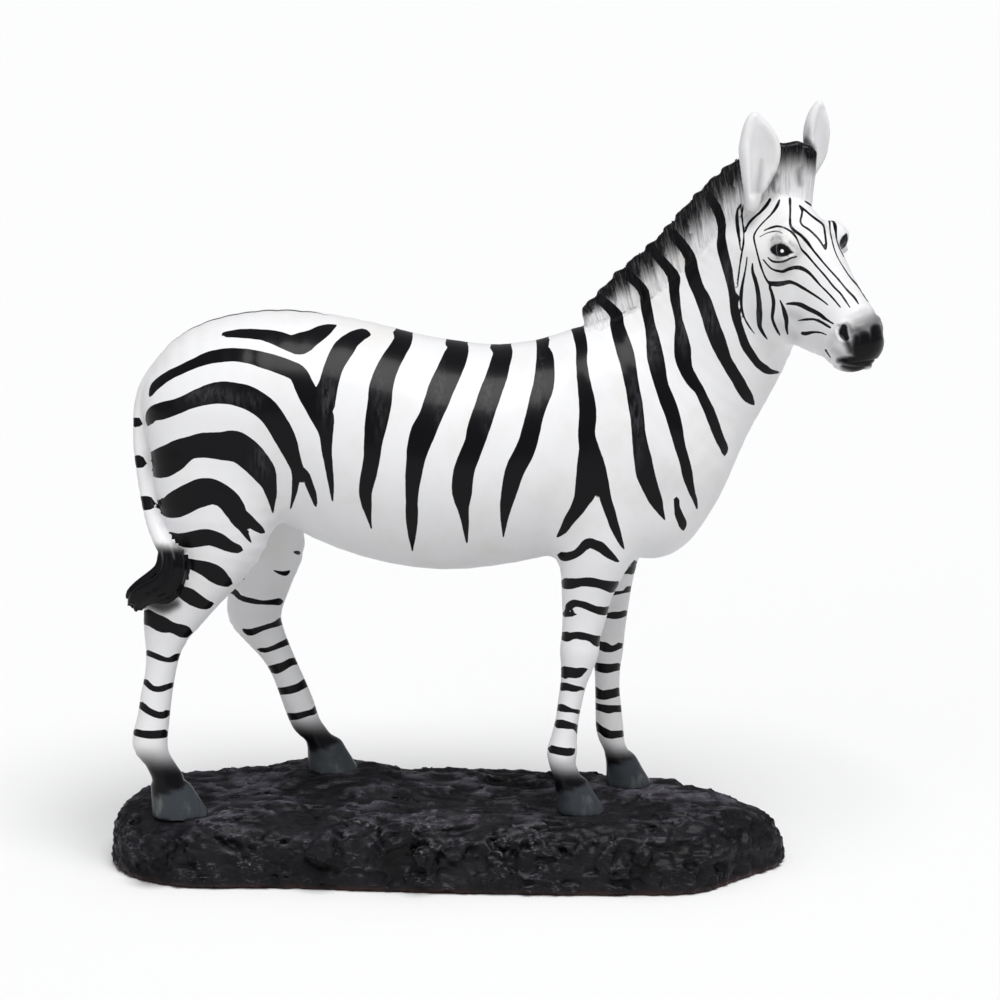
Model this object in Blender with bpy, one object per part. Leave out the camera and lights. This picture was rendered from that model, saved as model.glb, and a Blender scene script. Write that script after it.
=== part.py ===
"""Zebra figurine: a cast zebra that stands on a rock plinth of its own.

Run with blender --background --python part.py, or from the text editor.
The part stands on Z = 0 with its origin under the middle of the plinth. The zebra looks along +X
and turns its head towards -Y. The casting is sculpted from smooth blended forms, each one a chain
of oval sections, and the blend is skinned with a mesh at the end.
"""
import math

import bmesh
import bpy
import numpy as np

# Driving dimensions, in metres
FIGURE_HEIGHT = 0.276
PLINTH_HEIGHT = 0.0235
PLINTH_TOE_MARGIN = 0.0520
PLINTH_HEEL_MARGIN = 0.0175
PLINTH_SIDE_MARGIN = 0.0270
PLINTH_BATTER = 0.0055
ROCK_RELIEF = 0.0016
POCKET_DEPTH = 0.0022
POCKET_CLEARANCE = 0.0007
SEAT_GAP = 0.0003
FAR_HIND_ROCK_RISE = 0.0045
FAR_HIND_ROCK_SPREAD = 0.024

# How finely the forms are skinned, in millimetres of the pattern and in triangles
SKIN_STEP = 1.7
FIGURE_TRIANGLES = 6600
PLINTH_SIDES = 84

# The pattern: the figure is laid out in millimetres at this height, and scaled to FIGURE_HEIGHT
PATTERN_HEIGHT = 276.0
PATTERN_GROUND = 23.5

# The side drawing: U runs to the right and V down, on a sheet of 1000 by 1000 units. It is a view
# in perspective, from this distance and this height above the horizon, of the pattern on its ground
DRAWING_UNIT = 0.39
DRAWING_CENTRE = 500.0
VIEW_DISTANCE = 1250.0
VIEW_PITCH = math.radians(12)
VIEW_AIM = (19.7, 0.0, 145.0)


def at(u, v, y):
    """The pattern point that the side drawing shows at (u, v), y millimetres off the mid-plane."""
    side, rise = (u - DRAWING_CENTRE), (DRAWING_CENTRE - v)
    sin_p, cos_p = math.sin(VIEW_PITCH), math.cos(VIEW_PITCH)
    eye = np.array((VIEW_AIM[0], -VIEW_DISTANCE * cos_p, VIEW_AIM[2] + VIEW_DISTANCE * sin_p))
    ahead = np.array((0.0, cos_p, -sin_p))
    up = np.array((0.0, sin_p, cos_p))
    ray = ahead + (rise * up + side * np.array((1.0, 0.0, 0.0))) * DRAWING_UNIT / VIEW_DISTANCE
    return eye + ray * (y - eye[1]) / ray[1]


# Stations of each chain: (u, v, y, half width in the drawing in units, half width across in mm)
TORSO = [
    (185, 402, 0, 52, 24), (215, 396, 0, 73, 30), (250, 398, 0, 87, 34.5), (290, 408, 0, 100, 35),
    (340, 428, 0, 111, 35), (393, 446, 0, 115, 36.5), (447, 455, 0, 115, 37.5), (500, 454, 0, 110, 36.5),
    (550, 446, 0, 107, 33), (600, 442, 0, 112, 29), (638, 456, 0, 98, 25), (665, 478, 0, 72, 21),
    (681, 494, 0, 42, 14),
]
NECK = [
    (640, 420, 0, 98, 24), (674, 386, -0.5, 89, 20), (703, 354, -2, 79, 17), (728, 321, -4, 70, 15),
    (746, 286, -6, 59, 13.5), (758, 250, -8, 44, 13),
]
NEAR_HIND = [
    (222, 420, -13, 66, 18), (219, 460, -17, 66, 17.5), (219, 500, -19, 60, 16), (218, 535, -19.5, 49, 14),
    (209, 562, -20, 38, 12), (194, 586, -20.5, 31, 10), (174, 611, -21, 29.5, 7.5), (167, 630, -21, 23.5, 6.8),
    (163.5, 650, -21, 17.5, 6), (160.5, 672, -21, 15, 5.4), (156.5, 695, -21, 15.5, 5.3),
    (153.5, 718, -21, 16, 5.6), (150, 742, -21, 17.5, 6.4), (156, 757, -21, 13, 5.5), (162, 769, -21, 12.5, 5.7),
    (167.5, 781, -21, 13.5, 6.2),
]
FAR_HIND = [
    (232, 430, 13, 60, 18), (240, 470, 17, 58, 17), (252, 510, 19, 50, 15), (264, 545, 21, 42, 13),
    (262, 572, 22, 33, 11), (256, 598, 23, 29, 8.5), (255, 613, 23.5, 27.5, 7.6), (263, 630, 24, 21.5, 6.6),
    (274, 648, 24, 16.5, 5.8), (283.5, 666, 24, 14.5, 5.4), (292, 686, 24, 15, 5.3), (299, 704, 24, 15.5, 5.6),
    (306, 722, 24, 14.5, 6), (315.5, 732.5, 24, 11.5, 5.6), (322, 741, 24, 11.5, 5.8),
    (328, 750, 24, 13, 6.2),
]
NEAR_FORE = [
    (602, 440, -13, 42, 13), (604, 480, -15.5, 42, 13.5), (601, 515, -16.5, 40, 13), (597, 545, -17, 36, 12),
    (592, 568, -17, 31.5, 10.5), (587, 592, -17, 25.5, 8.8), (584.5, 615, -17, 22, 7.6), (581, 636, -17, 19.3, 7),
    (579.5, 650, -17, 19.5, 7), (577.5, 664, -17, 16.8, 6.2), (573.5, 683, -17, 13, 5),
    (570, 702, -17, 12, 4.8), (567, 720, -17, 11.5, 5), (564, 738, -17, 13, 5.6), (562, 752, -17, 15, 6.2),
    (562.5, 764, -17, 13, 5.6), (567, 776, -17, 12.5, 5.8), (571, 787, -17, 13.5, 6.2),
]
FAR_FORE = [
    (618, 450, 13, 42, 13), (618, 490, 15.5, 40, 13.5), (614, 525, 17, 34, 12), (612, 556, 18, 27, 10.5),
    (611, 580, 18.5, 22, 9), (610, 604, 18.5, 19, 7.8), (608, 628, 18.5, 17.5, 7), (607.5, 650, 18.5, 16, 6.8),
    (607.3, 668, 18.5, 13.2, 5.6), (607.4, 690, 18.5, 12.6, 5), (608.5, 710, 18.5, 13.5, 5.2),
    (610, 730, 18.5, 14, 5.8), (614, 745, 18.5, 11.5, 5.5), (619.5, 757, 18.5, 11, 5.6),
    (624, 767, 18.5, 13, 6),
]
TAIL = [
    (160, 372, -1, 8, 4), (148, 386, -3, 8, 4), (141.5, 404, -5, 7, 3.4), (140.3, 425, -7.5, 7, 3.2),
    (141, 446, -10, 7, 3), (143.5, 466, -12.5, 7, 3), (147, 488, -15.5, 7.3, 3), (151, 509, -19, 7.8, 3.1),
    (156.5, 529, -23, 8, 3.2), (164, 545, -27, 8.5, 3.5),
]
TAIL_TUFT = [
    (168, 551, -29, 9, 3.8), (171, 566, -31, 10.5, 4.6), (168, 581, -31, 12.5, 5), (158, 591, -30, 12, 5),
    (147, 596, -28, 11, 4.6), (138, 602, -26, 8.5, 3.8), (134, 607, -24, 6, 3),
]
NEAR_EAR = [
    (752, 206, -18, 7, 4), (753.5, 192, -18, 9.5, 4.8), (757, 176, -18, 15.5, 5.2), (759.5, 160, -18, 19.5, 5.2),
    (759.3, 146, -18, 20, 4.8), (756.5, 131, -18, 15, 3.8), (754.5, 121, -18, 9, 2.8), (755, 115, -18, 4, 1.6),
]
FAR_EAR = [
    (811, 200, 0, 6, 4), (812, 186, 0, 7.5, 4.8), (814, 170, 0, 9.5, 5.2), (816, 155, 0, 12, 5.2),
    (817, 143, 0, 13.5, 4.8), (817.3, 132, 0, 13.8, 4.2), (817.8, 121, 0, 12, 3.4), (818.5, 111, 0, 8.5, 2.6),
    (819.5, 104, 0, 4, 1.6),
]

# The mane: tufts from the crest of the neck to the edge of the brush, (u, v) each, and y
MANE = [
    ((590, 321), (586, 307), 0), ((601, 318), (596, 296), 0), ((614, 314), (605, 284), -0.2),
    ((627, 308), (616, 271), -0.4), ((640, 302), (629, 259), -0.8), ((653, 294), (642, 248), -1.2),
    ((666, 285), (654, 237), -1.7), ((678, 274), (666, 224), -2.3), ((689, 263), (678, 210), -3),
    ((700, 252), (690, 197), -3.8), ((711, 241), (701, 186), -4.6), ((722, 229), (712, 175), -5.4),
    ((733, 218), (724, 165), -6.2), ((744, 208), (738, 156), -7), ((756, 204), (751, 150), -8),
    ((768, 201), (764, 145), -9), ((779, 201), (777, 141), -9.5), ((790, 201), (790, 140), -9.5),
    ((800, 202), (803, 141), -9),
]
MANE_LENGTHWISE, MANE_ROOT_WIDTH, MANE_TIP_WIDTH = 3.4, 4.6, 2.6

# The head has a frame of its own: f runs from poll to nose, g out of the forehead, h to its right
HEAD_ORIGIN = (126.5, -8.0, 266.0)
HEAD_YAW, HEAD_PITCH = math.radians(48), math.radians(41)
# Stations: (f, top g, bottom g, half width across)
SKULL = [
    (-7, 2, -24, 11), (4, 4, -30, 13.5), (15, 5.5, -35, 15.5), (25, 5, -39, 15), (35, 3.6, -39, 13),
    (45, 2, -35, 11.4), (54, 0.6, -29.5, 10.6), (61, -1, -26, 10.8), (66.5, -4, -24.5, 9.6),
]
CHEEK = ((26, -27, 9.5), (15, 13.5, 6.5))
BROW = ((20, 0.3, 11.6), (8, 5.2, 5.2))
EYE = ((25, -4.2, 14.2), 4.3)
NOSTRIL = ((65.5, -8.5, 10.6), (3.2, 2.4, 1.8))
CHIN = ((62, -22.5, 0), (7, 4.5, 6.5))
BREAST = ((651, 514, 0), (17.5, 18.5, 17))

# Hooves: (centre u, v at the sole, y, half length, half width, yaw in degrees), lengths in mm
HOOVES = {
    "near_hind": (181, 812, -21, 11.4, 8.8, 4),
    "far_hind": (334, 768, 24, 10.6, 8.4, -4),
    "near_fore": (581.5, 814.5, -17, 9.8, 8.4, 3),
    "far_fore": (629.5, 789, 18.5, 9.4, 8.2, -3),
}
HOOF_HEIGHT, HOOF_SLOPE = 13.2, 0.40
SEAT_RISE = {"near_hind": 0.0, "far_hind": 1000 * FAR_HIND_ROCK_RISE, "near_fore": 0.0, "far_fore": 0.0}

# How far each form melts into what it joins, in pattern millimetres
BODY_BLEND, LEG_BLEND, NECK_BLEND, HEAD_BLEND, TRIM_BLEND, TUFT_BLEND = 14, 11, 13, 9, 2.2, 1.6


def unit(vector):
    """The vector at length one."""
    return np.asarray(vector, float) / np.linalg.norm(vector)


def head_axes():
    """The head's forward, outward and sideways directions in the pattern's frame."""
    cy, sy = math.cos(HEAD_YAW), math.sin(HEAD_YAW)
    cp, sp = math.cos(HEAD_PITCH), math.sin(HEAD_PITCH)
    forward = np.array((cp * cy, -cp * sy, -sp))
    outward = np.array((sp * cy, -sp * sy, cp))
    return forward, outward, np.array((-sy, -cy, 0.0))


def head_point(f, g, h):
    """A point of the head's frame in the pattern's frame."""
    forward, outward, sideways = head_axes()
    return np.array(HEAD_ORIGIN) + f * forward + g * outward + h * sideways


def rounded(stations, steps=3):
    """The stations with smooth ones in between, on a curve that passes through each of them."""
    rows = np.asarray(stations, float)
    padded = np.vstack((2 * rows[0] - rows[1], rows, 2 * rows[-1] - rows[-2]))
    result = []
    for i in range(1, len(padded) - 2):
        a, b, c, d = padded[i - 1:i + 3]
        for t in np.arange(steps) / steps:
            result.append(b + 0.5 * t * (c - a + t * (2 * a - 5 * b + 4 * c - d + t * (3 * (b - c) + d - a))))
    result.append(rows[-1])
    return np.array(result)


def oval_distance(offset, axes, radii):
    """Distance to an oval, near its skin. offset is from its centre, radii belong to the axes."""
    local = np.stack([offset @ axis for axis in axes], axis=1)
    k0 = np.linalg.norm(local / radii, axis=1)
    k1 = np.linalg.norm(local / (radii * radii), axis=1)
    return np.where(k1 > 1e-9, k0 * (k0 - 1.0) / np.maximum(k1, 1e-9), -np.min(radii))


def smooth_min(a, b, blend):
    """The lower of two fields, melted together over the blend width."""
    h = np.clip(0.5 + 0.5 * (b - a) / blend, 0.0, 1.0)
    return b + (a - b) * h - blend * h * (1.0 - h)


class Chain:
    """A run of oval sections. rows: centre (3), half width along the drawing, half width across."""

    def __init__(self, rows, across, blend, cut=False, caps=0.8):
        self.rows, self.across, self.blend, self.cut, self.caps = rows, unit(across), blend, cut, caps
        reach = rows[:, 3:5].max() + blend + 3.0
        self.low = rows[:, :3].min(axis=0) - reach
        self.high = rows[:, :3].max(axis=0) + reach

    def distance(self, points):
        """The chain's field at the points."""
        result = np.full(len(points), 60.0)
        for start, end in zip(self.rows[:-1], self.rows[1:]):
            reach = max(start[3:5].max(), end[3:5].max()) + self.blend + 3.0
            low = np.minimum(start[:3], end[:3]) - reach
            high = np.maximum(start[:3], end[:3]) + reach
            near = np.nonzero(np.all((points > low) & (points < high), axis=1))[0]
            if len(near) == 0:
                continue
            line = end[:3] - start[:3]
            along = unit(line)
            across = unit(self.across - along * (self.across @ along))
            other = np.cross(along, across)
            offset = points[near] - start[:3]
            t = np.clip(offset @ line / (line @ line), 0.0, 1.0)
            offset -= t[:, None] * line
            drawn = start[3] + t * (end[3] - start[3])
            wide = start[4] + t * (end[4] - start[4])
            radii = np.stack((wide, drawn, self.caps * np.minimum(wide, drawn)), axis=1)
            result[near] = np.minimum(result[near], oval_distance(offset, (across, other, along), radii))
        return result


class Ball:
    """A single oval form with its own axes."""

    def __init__(self, centre, radii, axes, blend, cut=False):
        self.centre, self.radii, self.axes = np.asarray(centre, float), np.asarray(radii, float), axes
        self.blend, self.cut = blend, cut
        reach = self.radii.max() + blend + 3.0
        self.low, self.high = self.centre - reach, self.centre + reach

    def distance(self, points):
        """The ball's field at the points."""
        return oval_distance(points - self.centre, self.axes, self.radii)


def smooth_max(a, b, blend):
    """The higher of two fields, melted together over the blend width."""
    return -smooth_min(-a, -b, blend)


class Hoof:
    """An oval cone that widens to its sole, cut flat there."""

    def __init__(self, centre, half_length, half_width, yaw, blend):
        self.centre, self.half_length, self.half_width, self.blend = centre, half_length, half_width, blend
        self.along = np.array((math.cos(yaw), math.sin(yaw), 0.0))
        self.across = np.array((-math.sin(yaw), math.cos(yaw), 0.0))
        self.cut = False
        reach = half_length + blend + 3.0
        self.low = centre - np.array((reach, reach, 1.0))
        self.high = centre + np.array((reach, reach, HOOF_HEIGHT + blend + 3.0))

    def distance(self, points):
        """The hoof's field at the points."""
        offset = points - self.centre
        height = np.clip(offset[:, 2], 0.0, HOOF_HEIGHT)
        shrink = HOOF_SLOPE * height
        along = (offset @ self.along + 0.75 * shrink) / (self.half_length - 0.75 * shrink)
        across = (offset @ self.across) / (self.half_width - 0.6 * shrink)
        wall = (np.hypot(along, across) - 1.0) * (self.half_width - 0.6 * shrink) * 0.9
        return smooth_max(wall, offset[:, 2] - HOOF_HEIGHT, 1.5)


def drawn_chain(stations, blend, across=(0, 1, 0), steps=3, caps=0.8):
    """A chain whose stations stand in the side drawing."""
    rows = []
    for u, v, y, half_drawn, half_across in stations:
        rows.append((*at(u, v, y), half_drawn * DRAWING_UNIT, half_across))
    return Chain(rounded(rows, steps), across, blend, caps=caps)


def head_forms():
    """Skull, cheeks, brows, chin and eyes, and the nostrils and mouth that are cut into them."""
    forward, outward, sideways = axes = head_axes()
    rows = []
    for f, top, bottom, half_across in SKULL:
        rows.append((*head_point(f, (top + bottom) / 2, 0), (top - bottom) / 2, half_across))
    forms = [Chain(rounded(rows), sideways, HEAD_BLEND)]
    for side in (1, -1):
        for (f, g, h), radii in (CHEEK, BROW):
            forms.append(Ball(head_point(f, g, side * h), radii, axes, 5))
    forms.append(Ball(head_point(*CHIN[0]), CHIN[1], axes, 3))
    for side in (1, -1):
        (f, g, h), radius = EYE
        forms.append(Ball(head_point(f, g, side * h), (radius, radius * 0.8, radius * 0.8), axes, 1.2))
        (f, g, h), radii = NOSTRIL
        forms.append(Ball(head_point(f, g, side * h), radii, axes, 1.5, cut=True))
    return forms


def ear_form(stations, cup_shift):
    """The forms of one ear: a leaf, and the hollow cut into the side that it shows."""
    leaf = drawn_chain(stations, 3.0)
    rows = []
    for u, v, y, half_drawn, half_across in stations[1:-1]:
        rows.append((*(at(u, v, y) + cup_shift), half_drawn * DRAWING_UNIT * 0.62, half_across * 0.72))
    hollow = Chain(rounded(rows), (0, 1, 0), 1.5, cut=True)
    return [leaf, hollow]


def mane_forms():
    """The brush of the mane, one tuft after another."""
    forms = []
    for (root_u, root_v), (tip_u, tip_v), y in MANE:
        root, tip = at(root_u, root_v, y), at(tip_u, tip_v, y)
        rows = np.array(((*root, MANE_LENGTHWISE, MANE_ROOT_WIDTH),
                         (*(0.45 * root + 0.55 * tip), MANE_LENGTHWISE, 0.85 * MANE_ROOT_WIDTH),
                         (*(0.1 * root + 0.9 * tip), 0.8 * MANE_LENGTHWISE, MANE_TIP_WIDTH)))
        forms.append(Chain(rows, (0, 1, 0), TRIM_BLEND))
    return forms


def hoof_forms():
    """The four hooves, each on its own seat."""
    forms = []
    for name, (u, v, y, half_length, half_width, yaw) in HOOVES.items():
        centre = at(u, v, y)
        centre[2] = PATTERN_GROUND + SEAT_RISE[name]
        forms.append(Hoof(centre, half_length, half_width, math.radians(yaw), 2.5))
    return forms


def zebra_forms():
    """Every form of the casting, in the order in which they melt together."""
    forms = [drawn_chain(TORSO, BODY_BLEND), drawn_chain(NECK, NECK_BLEND)]
    forms.append(Ball(at(*BREAST[0]), BREAST[1], np.eye(3), LEG_BLEND))
    for stations in (NEAR_HIND, FAR_HIND, NEAR_FORE, FAR_FORE):
        forms.append(drawn_chain(stations, LEG_BLEND))
    forms += head_forms()
    forms += mane_forms()
    forms += ear_form(NEAR_EAR, np.array((0.5, -3.6, 0.0)))
    forms += ear_form(FAR_EAR, np.array((2.2, -2.4, 0.0)))
    forms.append(drawn_chain(TAIL, TRIM_BLEND))
    forms.append(drawn_chain(TAIL_TUFT, TUFT_BLEND))
    forms += hoof_forms()
    return forms


def field_of(forms, points):
    """The blended field of all the forms: below zero inside the casting."""
    value = np.full(len(points), 60.0)
    for form in forms:
        near = np.nonzero(np.all((points > form.low) & (points < form.high), axis=1))[0]
        if len(near) == 0:
            continue
        local = form.distance(points[near])
        if form.cut:
            value[near] = smooth_max(value[near], -local, form.blend)
        else:
            value[near] = smooth_min(value[near], local, form.blend)
    for name, (u, v, y, *_) in HOOVES.items():
        sole = at(u, v, y)
        near = np.linalg.norm(points[:, :2] - sole[:2], axis=1) < 20.0
        flat = PATTERN_GROUND + SEAT_RISE[name] - points[near, 2]
        value[near] = np.maximum(value[near], flat)
    return value


def sampled(forms, low, step, counts):
    """The field on a grid: everywhere on a coarse one, and finely only near the skin."""
    coarse = 4
    coarse_counts = [-(-n // coarse) for n in counts]
    axes = [low[i] + step * coarse * (np.arange(coarse_counts[i]) + 0.375) for i in range(3)]
    grid = np.stack(np.meshgrid(*axes, indexing="ij"), axis=-1)
    rough = field_of(forms, grid.reshape(-1, 3)).reshape(coarse_counts)
    fine = rough
    for axis in range(3):
        fine = np.repeat(fine, coarse, axis=axis)
    fine = fine[:counts[0], :counts[1], :counts[2]].copy()
    near = np.argwhere(np.abs(fine) < 6 * step + 2.5)
    fine[tuple(near.T)] = field_of(forms, low + step * near)
    return fine


def shifted(grid, corner):
    """The grid seen from the corner of each of its cells."""
    return grid[tuple(slice(c, n - 1 + c) for c, n in zip(corner, grid.shape))]


def close_pinches(values, fill=-0.02):
    """Fills grid points where two parts of the casting would meet in a single edge or point."""
    for _ in range(12):
        inside = values < 0
        found = 0
        for axis in range(3):
            one, two = np.eye(3, dtype=int)[(axis + 1) % 3], np.eye(3, dtype=int)[(axis + 2) % 3]
            window = tuple(slice(0, n - s) for n, s in zip(values.shape, one + two))
            start = inside[window]
            beside = inside[tuple(slice(s, s + w.stop) for s, w in zip(one, window))]
            above = inside[tuple(slice(s, s + w.stop) for s, w in zip(two, window))]
            across = inside[tuple(slice(s, s + w.stop) for s, w in zip(one + two, window))]
            pinch = ((start & across & ~beside & ~above) | (beside & above & ~start & ~across))
            cells = np.argwhere(pinch)
            for corner in (np.zeros(3, int), one, two, one + two):
                spot = tuple((cells + corner).T)
                values[spot] = np.minimum(values[spot], fill)
            found += len(cells)
        if found == 0:
            return values
    return values


def skin_of(forms, low, high, step):
    """Points and faces of the skin, one point in each grid cell that the skin crosses."""
    low, high = np.asarray(low, float), np.asarray(high, float)
    counts = np.ceil((high - low) / step).astype(int) + 1
    values = close_pinches(sampled(forms, low, step, counts))
    inside = values < 0
    corners = [(i, j, k) for i in (0, 1) for j in (0, 1) for k in (0, 1)]
    filled = sum(shifted(inside, corner).astype(int) for corner in corners)
    cells = np.argwhere((filled > 0) & (filled < 8))
    index = np.full([n - 1 for n in counts], -1)
    index[tuple(cells.T)] = np.arange(len(cells))
    total, crossings = np.zeros((len(cells), 3)), np.zeros(len(cells))
    for axis in range(3):
        step_along = np.eye(3, dtype=int)[axis]
        for corner in corners:
            if corner[axis]:
                continue
            start = cells + corner
            a, b = values[tuple(start.T)], values[tuple((start + step_along).T)]
            crossed = (a < 0) != (b < 0)
            share = a[crossed] / (a[crossed] - b[crossed])
            total[crossed] += start[crossed] + share[:, None] * step_along
            crossings[crossed] += 1
    points = low + step * total / crossings[:, None]
    faces = []
    for axis in range(3):
        step_along = np.eye(3, dtype=int)[axis]
        side_a, side_b = np.eye(3, dtype=int)[(axis + 1) % 3], np.eye(3, dtype=int)[(axis + 2) % 3]
        ahead = tuple(slice(s, None) for s in step_along)
        behind = tuple(slice(0, -1) if s else slice(None) for s in step_along)
        edges = np.argwhere(inside[ahead] != inside[behind])
        edges = edges[np.all((edges - side_a - side_b >= 0) & (edges < counts - 1), axis=1)]
        ring = [index[tuple((edges - side_a - side_b).T)], index[tuple((edges - side_b).T)],
                index[tuple(edges.T)], index[tuple((edges - side_a).T)]]
        quads = np.stack(ring, axis=1)
        outward = inside[tuple(edges.T)]
        quads[~outward] = quads[~outward][:, ::-1]
        faces.append(quads)
    return settled(forms, points), np.concatenate(faces)


def settled(forms, points, rounds=2, probe=0.15):
    """The points moved onto the true skin along the field's slope."""
    for _ in range(rounds):
        value = field_of(forms, points)
        slope = np.empty_like(points)
        for axis in range(3):
            nudge = np.zeros(3)
            nudge[axis] = probe
            slope[:, axis] = (field_of(forms, points + nudge) - value) / probe
        size = np.maximum((slope * slope).sum(axis=1), 0.15)
        move = -(value / size)[:, None] * slope
        length = np.linalg.norm(move, axis=1)
        points = points + move * np.minimum(1.0, 0.6 * SKIN_STEP / np.maximum(length, 1e-9))[:, None]
    return points


def to_world(points):
    """Pattern millimetres in metres, with the soles on the plinth and its middle at the origin."""
    scale = FIGURE_HEIGHT / PATTERN_HEIGHT
    placed = (np.asarray(points, float) - (0.0, 0.0, PATTERN_GROUND)) * scale
    back, front = stance_reach()
    placed[..., 0] -= (back * scale - PLINTH_HEEL_MARGIN + front * scale + PLINTH_TOE_MARGIN) / 2
    placed[..., 2] += PLINTH_HEIGHT
    return placed


def stance_reach():
    """How far back and forward the hooves reach, in pattern millimetres."""
    backs = [at(u, v, y)[0] - half_length for u, v, y, half_length, _, _ in HOOVES.values()]
    fronts = [at(u, v, y)[0] + half_length for u, v, y, half_length, _, _ in HOOVES.values()]
    return min(backs), max(fronts)


def feet():
    """Each foot on the plinth: name, centre, half length, half width and yaw, in metres."""
    scale = FIGURE_HEIGHT / PATTERN_HEIGHT
    rows = []
    for name, (u, v, y, half_length, half_width, yaw) in HOOVES.items():
        centre = at(u, v, y)
        centre[2] = PATTERN_GROUND + SEAT_RISE[name]
        rows.append((name, to_world(centre), half_length * scale, half_width * scale, math.radians(yaw)))
    return rows


def material(name, colour, roughness):
    """A plain painted finish."""
    finish = bpy.data.materials.new(name)
    finish.use_nodes = True
    shader = finish.node_tree.nodes["Principled BSDF"]
    shader.inputs["Base Color"].default_value = (*colour, 1.0)
    shader.inputs["Roughness"].default_value = roughness
    shader.inputs["Metallic"].default_value = 0.0
    return finish


def add_object(name, points, faces, finish):
    """A named object with its mesh and its finish."""
    mesh = bpy.data.meshes.new(name)
    mesh.from_pydata([tuple(point) for point in points], [], [list(map(int, face)) for face in faces])
    mesh.materials.append(finish)
    mesh.shade_smooth()
    item = bpy.data.objects.new(name, mesh)
    bpy.context.scene.collection.objects.link(item)
    return item


def make_zebra():
    """The casting: one solid, thinned to FIGURE_TRIANGLES."""
    forms = zebra_forms()
    low = np.min([form.low for form in forms if not form.cut], axis=0)
    high = np.max([form.high for form in forms if not form.cut], axis=0)
    low[2] = PATTERN_GROUND - 3.0
    points, faces = skin_of(forms, low, high, SKIN_STEP)
    zebra = add_object("zebra", to_world(points), faces, material("painted_resin", (0.80, 0.80, 0.79), 0.3))
    thinning = zebra.modifiers.new("thinning", "DECIMATE")
    thinning.ratio = FIGURE_TRIANGLES / (2 * len(faces))
    return zebra


# The plinth's outline seen from above, as shares of its half length and half depth
PLINTH_OUTLINE = [
    (1.00, -0.04), (0.965, -0.33), (0.86, -0.62), (0.71, -0.96), (0.44, -1.0), (0.05, -0.96), (-0.22, -0.90),
    (-0.52, -0.83), (-0.78, -0.80), (-0.93, -0.56), (-1.00, -0.18), (-0.97, 0.25), (-0.86, 0.72),
    (-0.62, 0.93), (-0.30, 1.0), (0.05, 0.98), (0.38, 0.90), (0.62, 0.74), (0.82, 0.42), (0.96, 0.18),
]
RIM_ROUNDING = 0.0012
# Rings of the plinth from its underside up: (share of the height, share of the batter)
PLINTH_RINGS = [(0.0, 0.25), (0.07, 0.0), (0.30, 0.12), (0.55, 0.34), (0.78, 0.60), (0.92, 0.86), (1.0, 1.35)]
# Rings across its top, as shares of the way in to the middle
TOP_RINGS = (0.10, 0.22, 0.36, 0.52, 0.70, 0.87)
# Swells of the rock: (x and y as shares of the half sizes, spread in metres, height in reliefs)
ROCK_SWELLS = [
    (-0.72, -0.42, 0.020, 0.5), (-0.38, -0.55, 0.024, -0.6), (0.02, -0.62, 0.022, 0.7), (0.40, -0.58, 0.020, -0.4),
    (0.72, -0.30, 0.018, 0.8), (0.86, 0.02, 0.014, -0.7), (0.60, 0.40, 0.022, 0.4), (0.18, 0.30, 0.026, -0.5),
    (-0.18, 0.10, 0.020, 0.8), (-0.55, 0.05, 0.018, -0.5), (-0.86, 0.20, 0.016, 0.6), (0.48, 0.02, 0.012, 0.9),
    (1.02, 0.05, 0.030, -3.2),
]


def plinth_halves():
    """Half length and half depth of the plinth, from where the feet stand."""
    back, front = stance_reach()
    length = (front - back) * FIGURE_HEIGHT / PATTERN_HEIGHT + PLINTH_HEEL_MARGIN + PLINTH_TOE_MARGIN
    depth = max(abs(centre[1]) for _, centre, _, _, _ in feet()) + PLINTH_SIDE_MARGIN
    return length / 2, depth


def outline_at(count):
    """Evenly many points round the plinth's outline, as shares of its half sizes."""
    closed = np.array(PLINTH_OUTLINE + PLINTH_OUTLINE[:3])
    steps = 12
    run = rounded(closed, steps)[steps:steps * (len(PLINTH_OUTLINE) + 1)]
    lengths = np.linalg.norm(np.roll(run, -1, axis=0) - run, axis=1)
    marks = np.concatenate(((0.0,), np.cumsum(lengths)))
    wanted = np.arange(count) * marks[-1] / count
    looped = np.vstack((run, run[:1]))
    return np.stack([np.interp(wanted, marks, looped[:, i]) for i in (0, 1)], axis=1)


def rock_top(x, y):
    """The height of the rock's top at a place, in metres."""
    half_length, half_depth = plinth_halves()
    rise = 0.0
    for share_x, share_y, spread, height in ROCK_SWELLS:
        away = math.hypot(x - share_x * half_length, y - share_y * half_depth)
        rise += height * ROCK_RELIEF * math.exp(-(away / spread) ** 2)
    rise += 0.35 * ROCK_RELIEF * math.sin(210 * x + 80 * y) * math.sin(170 * y - 60 * x + 1.1)
    for name, centre, _, _, _ in feet():
        if name == "far_hind":
            away = math.hypot(x - centre[0], y - centre[1])
            rise += FAR_HIND_ROCK_RISE * math.exp(-(away / FAR_HIND_ROCK_SPREAD) ** 4)
    return PLINTH_HEIGHT + POCKET_DEPTH + rise


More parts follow.
